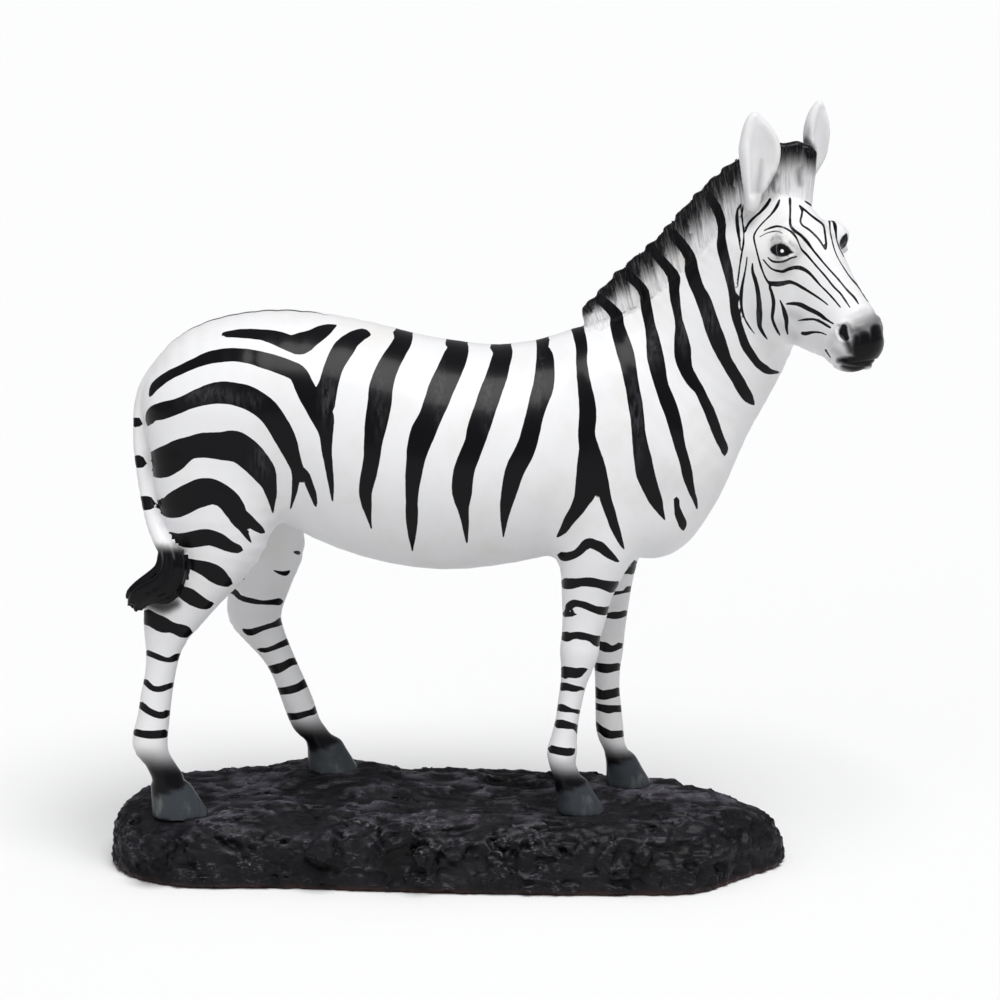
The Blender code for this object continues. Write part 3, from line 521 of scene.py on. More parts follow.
def laid(stations, blend, cut=False):
    """A thin chain on the skin of the head, and its twin on the other side."""
    rows = np.array([(*on_skin(u, v, head_base), half, half) for u, v, half in stations])
    twin = rows.copy()
    twin[:, :3] = mirrored_over_head(rows[:, :3])
    return [Chain(rounded(side), HEAD_SIDE, blend, cut=cut, caps=1.0) for side in (rows, twin)]


face_lines = [form for line in RAISED_LINES for form in laid(line, RAISED_BLEND)]
face_lines += [form for line in CUT_LINES for form in laid(line, CUT_BLEND, cut=True)]
clay = [trunk_form, neck_form, breast_form, *limb_forms.values(), *head_base, *face_lines, *tufts,
        *near_ear_forms, *far_ear_forms, *tail_forms, *hoof_forms()]
print("forms of clay:", len(clay))

# %% [markdown]
# ## From clay to a skin
# The field is sampled on a grid, finely only near the skin, and every grid cell that the skin
# crosses gets one point (surface nets). That gives even quads, which take subdivision and paint
# well. Then each point slides along the field's slope until it sits on the true skin. Where there
# is fine work, the faces are split first and their points slide home again, so the eye gets small
# faces and the barrel keeps large ones. A remesh modifier would spread its faces evenly instead.

# %% Skin of the clay
SKIN_STEP = 1.65
# The grid is fine this near the skin, and the clay is cut flat this far round a sole
SKIN_REACH, SOLE_REACH = 6 * SKIN_STEP + 2.5, 20.0


def field_of(forms, points):
    """The blended field of all the forms: below zero inside the casting."""
    value = np.full(len(points), FAR_AWAY)
    for form in forms:
        near = within(points, form.low, form.high)
        if len(near) == 0:
            continue
        local = form.distance(points[near])
        if form.cut:
            value[near] = smooth_max(value[near], -local, form.blend)
        else:
            value[near] = smooth_min(value[near], local, form.blend)
    for name in HOOVES:
        sole = hoof_centre(name)
        near = np.linalg.norm(points[:, :2] - sole[:2], axis=1) < SOLE_REACH
        value[near] = np.maximum(value[near], sole[2] - points[near, 2])
    return value


def slope_of(forms, points, value, probe=0.12):
    """The field's slope at the points, where it has the given value."""
    slope = np.empty_like(points)
    for axis in range(3):
        nudge = np.zeros(3)
        nudge[axis] = probe
        slope[:, axis] = (field_of(forms, points + nudge) - value) / probe
    return slope


def settled(forms, points, rounds=2, longest=0.9):
    """The points moved onto the true skin along the field's slope."""
    for _ in range(rounds):
        value = field_of(forms, points)
        slope = slope_of(forms, points, value)
        size = np.maximum((slope * slope).sum(axis=1), 0.15)
        move = -(value / size)[:, None] * slope
        length = np.linalg.norm(move, axis=1)
        points = points + move * np.minimum(1.0, longest / np.maximum(length, 1e-9))[:, None]
    return points


def sampled(field, low, step, counts, reach):
    """The field on a grid: everywhere on a coarse one, and finely only near the skin."""
    coarse = 4
    coarse_counts = [-(-n // coarse) for n in counts]
    middle = (coarse - 1) / (2 * coarse)
    axes = [low[i] + step * coarse * (np.arange(coarse_counts[i]) + middle) for i in range(3)]
    grid = np.stack(np.meshgrid(*axes, indexing="ij"), axis=-1)
    fine = field(grid.reshape(-1, 3)).reshape(coarse_counts)
    for axis in range(3):
        fine = np.repeat(fine, coarse, axis=axis)
    fine = fine[:counts[0], :counts[1], :counts[2]].copy()
    near = np.argwhere(np.abs(fine) < reach)
    fine[tuple(near.T)] = field(low + step * near)
    return fine


def skin_of(field, low, high, step, reach):
    """Points and faces of the skin, one point in each grid cell that the skin crosses."""
    low, high = np.asarray(low, float), np.asarray(high, float)
    counts = np.ceil((high - low) / step).astype(int) + 1
    values = sampled(field, low, step, counts, reach)
    inside = values < 0
    corners = [(i, j, k) for i in (0, 1) for j in (0, 1) for k in (0, 1)]
    views = [inside[tuple(slice(c, n - 1 + c) for c, n in zip(corner, counts))] for corner in corners]
    filled = sum(view.astype(int) for view in views)
    cells = np.argwhere((filled > 0) & (filled < 8))
    index = np.full([n - 1 for n in counts], -1)
    index[tuple(cells.T)] = np.arange(len(cells))
    total, crossings = np.zeros((len(cells), 3)), np.zeros(len(cells))
    faces = []
    for axis in range(3):
        ahead = np.eye(3, dtype=int)[axis]
        for corner in corners:
            if corner[axis]:
                continue
            start = cells + corner
            a, b = values[tuple(start.T)], values[tuple((start + ahead).T)]
            crossed = (a < 0) != (b < 0)
            share = a[crossed] / (a[crossed] - b[crossed])
            total[crossed] += start[crossed] + share[:, None] * ahead
            crossings[crossed] += 1
        side_a, side_b = np.eye(3, dtype=int)[(axis + 1) % 3], np.eye(3, dtype=int)[(axis + 2) % 3]
        front = tuple(slice(s, None) for s in ahead)
        back = tuple(slice(0, -1) if s else slice(None) for s in ahead)
        edges = np.argwhere(inside[front] != inside[back])
        edges = edges[np.all((edges - side_a - side_b >= 0) & (edges < counts - 1), axis=1)]
        ring = [edges - side_a - side_b, edges - side_b, edges, edges - side_a]
        quads = np.stack([index[tuple(corner.T)] for corner in ring], axis=1)
        outward = inside[tuple(edges.T)]
        quads[~outward] = quads[~outward][:, ::-1]
        faces.append(quads)
    return low + step * total / crossings[:, None], np.concatenate(faces)


def add_object(name, data):
    """A new object with the data, linked into the scene."""
    item = bpy.data.objects.new(name, data)
    bpy.context.scene.collection.objects.link(item)
    return item


def plain_mesh(name, points, faces):
    """A mesh object of the points and faces, shaded smooth."""
    mesh = bpy.data.meshes.new(name)
    mesh.from_pydata(np.asarray(points).tolist(), [], [list(face) for face in faces])
    mesh.shade_smooth()
    return add_object(name, mesh)


def read_all(items, name, size=1, kind=float):
    """The named value of every item, as one row of numbers."""
    flat = np.empty(size * len(items), kind)
    items.foreach_get(name, flat)
    return flat


def points_of(mesh):
    """The mesh's points as an array."""
    return read_all(mesh.vertices, "co", 3).reshape(-1, 3)


def put_points(mesh, points):
    """Moves the mesh's points."""
    mesh.vertices.foreach_set("co", np.asarray(points, float).ravel())
    mesh.update()


def split_faces(mesh, chosen):
    """Splits the edges between the chosen points once, and fills the faces with a finer grid."""
    work = bmesh.new()
    work.from_mesh(mesh)
    work.verts.ensure_lookup_table()
    edges = [edge for edge in work.edges if chosen[edge.verts[0].index] and chosen[edge.verts[1].index]]
    bmesh.ops.subdivide_edges(work, edges=edges, cuts=1, use_grid_fill=True)
    work.to_mesh(mesh)
    work.free()
    mesh.shade_smooth()


def refine(mesh, forms, rule):
    """Splits the faces where the rule holds, and settles all points there again."""
    split_faces(mesh, rule(points_of(mesh)))
    points = points_of(mesh)
    moved = rule(points)
    points[moved] = settled(forms, points[moved], rounds=2, longest=0.5)
    put_points(mesh, points)


# %% Sculpting the animal
low = np.min([form.low for form in clay if not form.cut], axis=0)
high = np.max([form.high for form in clay if not form.cut], axis=0)
low[2] = GROUND - REACH_MARGIN
points, faces = skin_of(lambda spots: field_of(clay, spots), low, high, SKIN_STEP, SKIN_REACH)
zebra = plain_mesh("zebra", settled(clay, points), faces)
print("first skin:", len(points), "points")
# How far round an eyeball the eye's work goes, and where the muzzle starts along the head, in mm
EYE_REACH, MUZZLE_START = 9.0, 54


def head_region(points):
    """Head, ears, forelock and mane."""
    uv = drawn(points)
    above_crest = (uv[:, 0] > 575) & (uv[:, 1] < 330 - 0.78 * (uv[:, 0] - 575))
    return (uv[:, 0] > 737) & (uv[:, 1] < 385) | above_crest


def ear_region(points):
    """The ears, whose soft paint needs fine faces."""
    uv = drawn(points)
    return (uv[:, 1] < 204) & (uv[:, 0] > 736) & (points[:, 2] > 262)


def tuft_region(points):
    """The tuft of the tail."""
    uv = drawn(points)
    return (uv[:, 0] < 188) & (uv[:, 1] > 540) & (uv[:, 1] < 618) & (points[:, 1] < -18)


def near_eyeballs(places, side):
    """Whether places in the head's frame are close to an eyeball and this far from the mid-plane."""
    away = np.hypot(places[:, 0] - EYEBALL[0][0], places[:, 1] - EYEBALL[0][1])
    return (away < EYE_REACH) & (np.abs(places[:, 2]) > side)


def face_region(points):
    """The eyes, the nostrils and the lips."""
    places = in_head(points)
    chosen = near_eyeballs(places, 8) | (places[:, 0] > MUZZLE_START)
    return chosen & (places[:, 0] < 80) & (places[:, 1] < 8) & (places[:, 1] > -36)


refine(zebra.data, clay, lambda spots: head_region(spots) | tuft_region(spots) | ear_region(spots))
print("with the head refined:", len(zebra.data.vertices), "points")
refine(zebra.data, clay, face_region)
print("with the face refined:", len(zebra.data.vertices), "points")

# %% [markdown]
# ## The stripes
# A zebra's stripes are brush strokes: each starts as a point, swells over the muscle and thins out
# again. So they are kept as strokes on the drawing sheet: u, v and half width, all in sheet units.
# An image texture would be the usual way, but a painted map has to be unwrapped and has a fixed
# sharpness. Strokes stay crisp at any distance, because only two numbers per face corner are kept:
# how far the corner lies from the stroke's middle line and how wide the stroke is there.

# %% Strokes of the rump and the thigh
RUMP = [
    [(223, 334.5, 2.5), (241, 333.5, 4.5), (262, 334.8, 5.5), (278, 338.5, 7.5), (292, 344, 8.5),
     (301, 343.5, 11), (312, 338, 8.5), (322, 332, 7), (330, 328, 4), (336, 325.5, 1)],
    [(150, 396, 1.5), (155, 386, 4.5), (168, 376, 4.6), (182, 369, 4.7), (194.5, 363.3, 5),
     (208.5, 358, 6.2), (219, 356, 6.7), (232, 354.6, 6.7), (250, 356.5, 7.3), (262, 359.7, 8),
     (275.5, 363.7, 8.5), (290, 369.3, 8.7), (298.7, 374.3, 9.1), (306, 390, 10), (314, 403, 11),
     (322.3, 416.6, 11.6), (326, 433, 7.1), (326.7, 449.6, 5.3), (328.3, 462.5, 4.3), (331.3, 485, 2.8),
     (332.5, 502, 0.8)],
    [(370.4, 334.8, 1), (363, 334, 5.7), (352.6, 339.5, 8), (345.5, 346.5, 10), (341, 352.7, 10.5),
     (336.6, 360.3, 10), (332.5, 370.7, 9.5), (328, 386, 10), (323, 405, 12)],
    [(148.5, 424, 3), (153, 414, 7), (162, 411, 8.7), (176.7, 406.5, 7.8), (186.6, 402.3, 7.7),
     (199, 397.5, 8.9), (210.5, 394, 10.2), (221.2, 392.6, 11.2), (234, 393.8, 11.4), (247.4, 397.5, 12),
     (258, 403.2, 11.6), (267, 410.3, 11.6), (274.3, 419.5, 11), (282.6, 433.3, 10.9), (287.8, 444, 9.8),
     (292.8, 457.5, 7.7), (297.3, 470.5, 6), (295.5, 483, 3.7), (294, 494, 2.5), (290.5, 509, 0.8)],
    [(297.3, 468, 5), (303, 472, 4), (306.5, 476, 4), (309, 484, 4), (313, 494, 3.6), (316, 506, 1.5)],
    [(149, 458, 2), (153, 462, 8), (160, 463.5, 14.7), (171, 458.6, 15), (180, 452.4, 13.4),
     (189.3, 448, 11.4), (203.6, 445.2, 12.5), (221.4, 446, 14), (233.5, 446, 15.5), (241, 449, 14.8),
     (249.3, 455.5, 14.3), (257, 463.5, 13.3), (263.8, 472, 12), (268, 481, 8.8), (271, 492.5, 6),
     (272, 501.5, 3.6), (272.9, 513, 0.8)],
    [(160, 502, 4), (168, 507, 9.7), (175, 505, 13), (183, 501, 14), (193, 496, 14), (202, 492.5, 14.3),
     (211, 491.5, 13), (220, 494.5, 11.5), (228, 500, 11), (234, 508, 11), (239, 516, 9), (247, 519, 6),
     (255, 526, 4.8), (263, 531.5, 3)],
    [(235, 512, 7), (237, 519, 7), (242, 527, 4.5), (247, 536, 2.5), (251, 542.5, 0.8)],
    [(168, 534.5, 3.5), (177, 539, 5.7), (189, 540, 8), (200, 538, 8.5), (210, 537.5, 8), (220, 541, 7.5),
     (230, 546.5, 5.8), (240, 549.5, 4)],
    [(187, 563, 5), (197, 566, 6), (207, 569.5, 8), (216, 574.5, 9), (224, 580.5, 6.5), (230, 583, 3.5)],
    [(180, 591, 5.5), (188, 595, 7.5), (197, 600.5, 7), (206, 604.5, 5), (213, 603.5, 1.5)],
    [(145, 616, 8), (153, 620, 7.5), (162, 624.5, 8), (172, 627.5, 5.5), (182, 631, 6.5), (188, 632, 6)],
]
NEAR_HIND_BANDS = [
    [(147, 652.5, 3), (158, 657, 3), (168, 660, 2.3), (176, 657.5, 3.5), (181, 653.5, 1)],
    [(145, 681, 3), (152, 688, 3), (160, 689, 3), (167, 687, 3), (173.5, 684, 2.5)],
    [(141, 704.5, 4), (147, 710, 3.5), (155, 714, 3.5), (163, 715.5, 3.3), (168, 712, 3.6)],
    [(135, 732, 3.5), (145, 734.5, 4), (158, 734.5, 4.2), (166, 733.5, 4)],
]
print("rump strokes:", len(RUMP), "near hind bands:", len(NEAR_HIND_BANDS))

# %% Strokes of the barrel
BARREL = [
    [(403, 331, 10), (402.8, 341, 9), (393.4, 357, 10), (385.3, 373, 11), (380.8, 389, 12), (379.8, 402, 12),
     (376.5, 421, 11.5), (373.5, 440, 9.5), (371.7, 458, 8.3), (368.4, 476, 8), (365.4, 491, 6.6),
     (366.4, 503, 5.4), (369, 517, 2.5), (371.5, 529, 0.7)],
    [(454, 338.5, 11), (459, 347.5, 9.5), (455.3, 357, 12), (450, 369.6, 12.5), (441.7, 387.5, 12.8),
     (436.3, 402, 12.3), (430.8, 416, 11.5), (423.2, 432, 12.5), (418, 448, 11), (415.5, 461, 9.3),
     (413.2, 478.6, 8), (411.9, 496.4, 6.2), (411.8, 516, 6.2), (412, 532, 4.5), (412.3, 551, 0.7)],
    [(499, 343, 10.5), (503, 352, 9.7), (500.5, 362, 10), (496.4, 377, 10.6), (490.4, 393, 11),
     (485, 409, 11), (478.9, 427, 11.2), (474.5, 443, 10), (469, 457, 10.3), (463.5, 473, 10.4),
     (462, 493, 10), (463.1, 508, 5.8), (465.2, 523, 3.8), (467, 543.5, 0.7)],
    [(543, 338.5, 7), (542.5, 348, 6), (544.8, 356, 8.3), (545, 368, 9.5), (543.4, 386, 10.5),
     (538.4, 402, 9.6), (534, 418, 8.8), (528.7, 440, 9.5), (523.3, 454, 10), (515, 470, 9.6),
     (510.2, 487.5, 8.4), (506.2, 505, 6.2), (504.2, 520, 3.7), (503.4, 537, 0.7)],
]
print("barrel strokes:", len(BARREL))

# %% Strokes of the shoulder, neck and mane
SHOULDER = [
    [(576.5, 318, 6), (576.5, 324, 6.5), (581.5, 345, 6), (581.5, 360, 5.5), (583.5, 380, 6.5),
     (586.8, 400, 8), (587.8, 415, 8.8), (586.5, 435, 8.5), (589.3, 450, 10.3), (590, 465, 13),
     (586, 490, 11), (582, 500, 8.5), (576.5, 510, 7), (569.3, 520, 5.5), (563.5, 530, 4), (557, 537, 1)],
    [(592, 462, 12), (600, 478, 8), (604, 490, 6), (606, 500, 5.8), (609.5, 510, 5.5), (612.5, 520, 5),
     (616, 530, 4.3), (619.8, 540, 3), (624, 549, 0.8)],
    [(598, 297, 5), (610, 308, 5.5), (616.5, 316, 6.5), (617, 325, 7), (621.5, 340, 8), (626, 355, 8.3),
     (629.3, 370, 7.5), (632, 385, 7), (634.7, 400, 7.3), (637, 415, 7), (638.3, 430, 6.8),
     (640.3, 445, 7.8), (643, 460, 9), (645.8, 475, 9.3), (651.3, 490, 8), (655.5, 500, 6.8), (660, 510, 4),
     (665, 520, 0.7)],
    [(625, 272, 5), (637, 283, 5), (644.3, 292, 5), (645.3, 300, 5.2), (646.8, 310, 5.7), (649.8, 325, 5.3),
     (653, 340, 6.8), (655, 355, 8.3), (658, 370, 8), (661.5, 385, 7), (667, 400, 7.5), (672.5, 415, 7.3),
     (676.3, 430, 6.7), (679.6, 445, 5.6), (684.3, 460, 5.2), (687.5, 475, 5.3), (691.3, 490, 3.4),
     (695, 500, 2.5), (697, 509, 0.8)],
    [(650, 247, 5), (661, 260, 5), (669.5, 270, 5.5), (674, 278, 6.3), (674.2, 290, 5.2), (675.3, 300, 5),
     (677.8, 315, 4), (679.5, 325, 4.5), (681, 335, 6.5), (682.5, 350, 8.5), (683.5, 360, 8),
     (686.3, 370, 6.8), (691.8, 380, 6.4), (699.3, 390, 5), (704, 400, 5), (708.8, 410, 5.3),
     (712.8, 420, 5.3), (716.3, 430, 5), (720.3, 440, 4.6), (724, 448, 4.2), (724.5, 455, 2)],
    [(672, 233, 5), (683, 246, 5.5), (690.5, 258, 5.5), (691.5, 270, 7), (694.5, 280, 7), (698.3, 290, 6.5),
     (703.3, 300, 7.5), (707, 310, 7.5), (710.3, 320, 7.7), (713.5, 330, 8), (717.5, 340, 8),
     (721.5, 350, 7.2), (725.8, 360, 6), (731.5, 370, 6), (737.8, 380, 6), (743.3, 390, 6), (748.5, 398, 5),
     (754, 404.5, 1)],
    [(708, 194, 4), (716, 207, 5), (721.5, 222, 4.5), (721.5, 235, 4), (721.8, 245, 5.2), (723.8, 255, 5.2),
     (726.5, 265, 5), (728.8, 275, 4.3), (730.8, 285, 3.8), (732.3, 295, 3.3), (733.8, 305, 4.2),
     (735.8, 315, 4.7), (738.3, 325, 4.3), (741.8, 335, 4.2), (745.3, 345, 4.5), (751.5, 355, 4.2),
     (757.5, 363, 4), (765, 369, 4), (770, 371.5, 3), (779, 372.5, 0.8)],
    [(676.5, 499, 3), (677, 507, 3), (679, 515, 4), (682, 522, 4.5), (683, 528, 3.5)],
    [(741.5, 203, 0.7), (737.5, 210, 1.2), (737, 220, 1.8), (738, 230, 1.8), (739.3, 240, 1),
     (740.5, 250, 0.5)],
    [(744, 203, 0.9), (742, 212, 1.1), (742.5, 221, 1), (743.8, 233, 0.8), (743.5, 243, 1),
     (741.5, 255, 1.1), (739.5, 268, 0.9), (738, 280, 0.7), (738, 287, 0.4)],
]
print("shoulder and neck strokes:", len(SHOULDER))

# %% Strokes of the face
FACE = [
    [(770.5, 199, 1.6), (766, 206, 1.8), (760, 212.5, 1.3), (753.5, 218, 1.3), (748, 224.5, 1.2),
     (745, 232, 0.9)],
    [(779.5, 200, 1.3), (776.5, 207, 1.6), (770.5, 215, 0.9), (763.5, 222, 0.8), (757.5, 229, 0.8),
     (754, 235.5, 0.9), (754.3, 241, 0.9), (756, 248, 0.8), (758.5, 258, 1), (760.5, 265, 1.1),
     (762.5, 271, 1), (765, 277, 0.9), (768, 282, 1.2)],
    [(769, 283, 2), (777, 284, 2.7), (784, 283, 2.3), (790, 282, 2), (796, 284, 1.6), (803, 288, 1.5),
     (812, 293.5, 1.2), (821, 299.5, 1), (828, 305, 0.6)],
    [(769.5, 287, 1.5), (772, 294, 1.7), (773.5, 302, 1.9), (773, 311, 1.8), (772.3, 318, 1.7),
     (774.5, 325, 1.5), (777.5, 331, 1.3), (780, 335.5, 0.7)],
    [(768, 257.5, 0.7), (772, 261, 1.1), (778, 262, 1.1), (785, 261, 1.1), (790, 258.5, 1),
     (796.5, 256.5, 0.9)],
    [(763, 259, 0.8), (767, 264.5, 0.9), (772, 269, 1), (778, 271, 1.3), (783, 271.5, 1.6), (789, 269, 1.8),
     (796, 267.5, 2), (802, 268.5, 2.1), (808, 272, 1.7), (814, 278, 1.3), (820, 285, 1.1), (827, 292, 1),
     (834, 299.5, 1), (840.5, 307.5, 0.6)],
    [(764, 230.5, 0.7), (770, 228, 1), (776.5, 226.3, 1.2), (783, 227.3, 0.9), (789, 230.3, 1),
     (793.5, 234, 1.3), (797, 239, 1), (799.5, 245, 0.8), (802, 250, 1.2), (806, 254, 1.3), (812, 261, 1),
     (818, 268, 1), (826, 277, 1), (833, 286, 1), (840, 293, 1), (845, 300, 1), (850, 307.5, 0.6)],
    [(759.6, 237, 0.5), (766, 233.5, 0.5), (771.7, 231.8, 0.5), (777.4, 231.2, 0.5), (783, 233.5, 0.4)],
    [(789.8, 198, 1.6), (790.3, 209, 1.2), (790.2, 224, 1.2), (794, 230, 1.4), (801, 235.5, 1.7),
     (807.5, 242.5, 1.6), (813, 250, 1.2), (819.5, 258, 1), (828, 268, 1), (838, 279, 1), (847, 290, 1.1),
     (854, 297, 1.2), (858.5, 304, 0.7)],
    [(799.5, 205.5, 1.1), (802, 210.5, 1.1), (801.7, 215, 1.1), (800.4, 221.4, 1.1), (802.7, 225.5, 1.1),
     (809.5, 230, 1.1), (817.6, 238, 1.1), (821, 242.7, 1.1), (825.6, 249.6, 1.1)],
    [(825.6, 249.6, 1.1), (826.2, 243.8, 1.1), (825, 233.5, 1.1), (823.9, 226.6, 1.1), (821.6, 223.2, 1.2),
     (815.3, 218.6, 1.2), (809.5, 214, 1.2), (805, 210, 1.1), (799.5, 205.5, 1.1)],
    [(805, 201, 0.8), (812, 206, 1), (820, 212, 1.1), (827, 217, 1.2), (829.5, 222, 1.1), (830, 230, 0.8),
     (831.5, 238, 0.7), (834, 248, 0.6), (837, 256, 0.6), (842, 265, 0.6), (850, 277, 0.7), (858, 286, 0.9),
     (863, 293, 1.3), (868, 301.5, 0.6)],
    [(833, 220.5, 1), (835, 226, 1.8), (836, 234, 1.2), (837, 241, 0.8), (840, 249, 0.6), (844, 257, 0.4)],
    [(747, 257, 0.7), (746, 266, 0.9), (744, 277, 1.1), (742, 287, 1.6), (741, 297, 1.8), (741.5, 307, 1.4),
     (744, 317, 1), (749.5, 327, 0.9), (755.5, 335, 0.4)],
    [(752.5, 263, 0.6), (752.5, 271, 1.6), (755, 279, 2), (757.5, 289, 2.2), (758.8, 300, 2.5),
     (759.3, 311, 3), (759.3, 320, 2.8), (760, 327, 2), (763.5, 334, 1.5), (767.5, 339.5, 0.7)],
    [(780, 300, 0.7), (782.5, 306, 1.5), (785, 314, 2.3), (786.5, 321, 2.2), (786.5, 328, 1.6),
     (787.8, 334.5, 0.8)],
    [(786, 304, 0.8), (792, 303.5, 1.5), (800, 304.5, 2.3), (808, 308.5, 2.3), (815, 312, 2.3),
     (821, 315.5, 2), (827, 320, 1.3), (833.5, 323.8, 0.7)],
    [(798, 320.5, 0.6), (806, 319.5, 1.2), (814, 319.3, 1.3), (820, 321.5, 1.4), (826, 325, 1.4),
     (830.5, 327.8, 0.9)],
    [(802, 333.3, 1.8), (806, 333.7, 1.9), (812, 332.3, 1.3), (820, 332.5, 0.9), (826.5, 334.8, 0.4)],
    [(825.5, 350, 1.3), (827.5, 353, 0.8), (830.5, 357.5, 0.4)],
]
print("face strokes:", len(FACE))

# %% Strokes of the fore legs, the far hind leg and the tail
NEAR_FORE_BANDS = [
    [(560.6, 555.7, 4.5), (565.7, 556.7, 4.5), (570.8, 555.7, 4.2), (575.9, 553.7, 4), (581, 549.6, 4.2),
     (586, 544.5, 5), (590.2, 543, 5), (595.3, 545, 5), (600.4, 547, 5.3), (605.5, 551.6, 4.7),
     (610.6, 555.7, 3.8), (615.7, 559.8, 2.3), (619.3, 562, 0.7)],
    [(563.7, 583.3, 5.5), (570.8, 583.8, 5.5), (581, 582.2, 4.3), (591.2, 582.2, 4.8), (601.4, 584.3, 4.5),
     (608.6, 586.3, 5.5), (612.7, 586.8, 5.8), (616.7, 583.3, 3.5)],
    [(564.7, 613.9, 3.5), (575.4, 614.4, 2)],
    [(567.8, 607.8, 4), (572.9, 603.7, 4), (579, 603.7, 3.3), (586, 605.7, 3.5), (593.3, 608.8, 3.7),
     (600.4, 610.8, 4.2), (606, 610.8, 4), (609, 606.7, 1.5)],
    [(564.7, 635.3, 5.5), (567.8, 637.3, 4.5), (573.9, 635.3, 3.5), (581, 635.8, 4), (589.2, 637.3, 3.5),
     (595.3, 640.4, 5), (598.9, 641.4, 6)],
    [(562.5, 671.9, 6), (570, 672.5, 5.5), (577.7, 673, 5), (582, 670.8, 3.5), (587.5, 669.2, 0.8)],
    [(561.4, 686.6, 4.5), (567.9, 687, 3.7), (574.4, 688.7, 3.5), (579.9, 688.2, 2), (583.7, 689.3, 1.5)],
    [(557.6, 708.8, 3), (560.9, 707.7, 4), (566.9, 709.3, 3), (573.4, 710.7, 1.8), (578.8, 712, 2.5)],
    [(556.6, 724, 4.2), (562.5, 724, 4.5), (569, 725.6, 3.7), (575.5, 726.7, 2.8), (577.2, 732.6, 2)],
    [(550.6, 748.9, 4), (557, 750.5, 4), (563.6, 751.6, 4), (570, 752.2, 4), (573.4, 750, 3)],
]
FAR_FORE_BANDS = [
    [(617, 562, 2), (626, 562.5, 2.5), (635.5, 562.5, 2.5)],
    [(615, 573, 2), (627, 572, 2), (631, 570.5, 4), (635, 568, 4)],
    [(605, 594, 3), (616, 593, 2), (625, 591.5, 1.5), (628, 589.5, 3.2), (631, 587.5, 2)],
    [(600, 616, 3), (608, 615.5, 2.5), (613, 615.5, 3.7), (620, 615, 3.5), (626, 612.5, 3)],
    [(590, 643, 4), (600.5, 645.5, 4), (605, 647, 5), (611, 649, 3.5), (617, 647, 3), (620.5, 645, 3.5)],
    [(590, 665, 4), (594.5, 666, 3.8), (601, 667.8, 4.7), (608, 668.5, 4.7), (614, 667.5, 3.8),
     (620, 666.3, 3.8)],
    [(590, 690, 5), (594.5, 691.4, 5), (600.5, 694.7, 4.5), (606, 694.7, 4.8), (612.4, 693.6, 4.5),
     (619.4, 691.4, 4.5)],
    [(590, 705, 3.5), (595, 706, 3.5), (600.5, 707.7, 3.5), (608, 709.3, 4.3), (614.6, 708.8, 3.7),
     (621, 708.6, 3.5)],
    [(590, 723, 4), (595, 725.6, 4.3), (600.5, 729.4, 3.5), (606, 733.2, 4.3), (610.2, 734.8, 4),
     (616.7, 734.3, 3.8), (622.7, 733.7, 3.5)],
]
FAR_HIND_BANDS = [
    [(294, 552, 1), (299, 553, 2.5)],
    [(273.5, 570.5, 0.8), (281, 573, 2), (286, 573.5, 2.5), (290, 570.5, 1)],
    [(239, 577, 1), (242, 574.5, 1.5), (243.5, 578.5, 2)],
    [(229, 590, 3), (235, 592, 3), (240, 597.5, 2.5), (250, 600.5, 2.8), (262, 602.5, 2.2),
     (272, 602.3, 2.7), (280.5, 601.5, 4)],
    [(243, 629.5, 1.5), (250, 632.5, 3.5), (259, 629.5, 3), (268, 626.5, 2.5), (276, 624, 3),
     (282, 620.5, 4)],
    [(258, 649, 1.5), (264, 650.5, 2.5), (272, 648.5, 2.5), (280, 645, 3), (288, 641.5, 3.5)],
    [(268, 668, 2), (276, 669, 5), (284, 666, 4), (291, 662, 4), (297, 661, 3.5)],
    [(275, 688, 1), (279, 691, 3.5), (290, 690, 4), (299, 687, 4), (306, 682.5, 4.5)],
    [(287, 716.5, 3.5), (297, 716.3, 3.5), (308, 713.3, 3), (314, 711.5, 3), (317, 706.5, 3)],
]
TAIL_MARKS = [
    [(131, 421, 3.5), (138.5, 423, 5.5)],
    [(134, 461, 3), (138, 461.5, 6.5), (144, 463, 4)],
    [(139, 502, 5), (146, 503, 7.2), (152, 503.5, 5)],
    [(157.5, 507, 2.8), (160, 507, 2.8)],
]
print("leg and tail strokes:", len(NEAR_FORE_BANDS + FAR_FORE_BANDS + FAR_HIND_BANDS + TAIL_MARKS))

# %% [markdown]
# ## Laying the strokes on the skin
# Every face first finds the part of the animal that it belongs to, and where the drawing sheet
# shows it. The side that is turned away repeats the near side, mirrored about the mid-plane of
# the trunk, the neck or the head, as a painter would carry the stripes over the back. The hidden
# thigh takes the near thigh's pattern, moved along with the leg. Each face takes its nearest
# stroke, and its corners keep the signed offset from that stroke's middle line. A second value,
# the depth inside any stroke, closes the joints where two strokes meet.

# %% Measuring strokes
# In sheet units: how far the depth reaches, how far a face looks for its stroke, offset without a stroke
STROKE_REACH, CHOICE_REACH, CHOICE_LIMIT, NO_STROKE = 8.0, 40.0, 50.0, 40.0
END_TAPER = 1.2


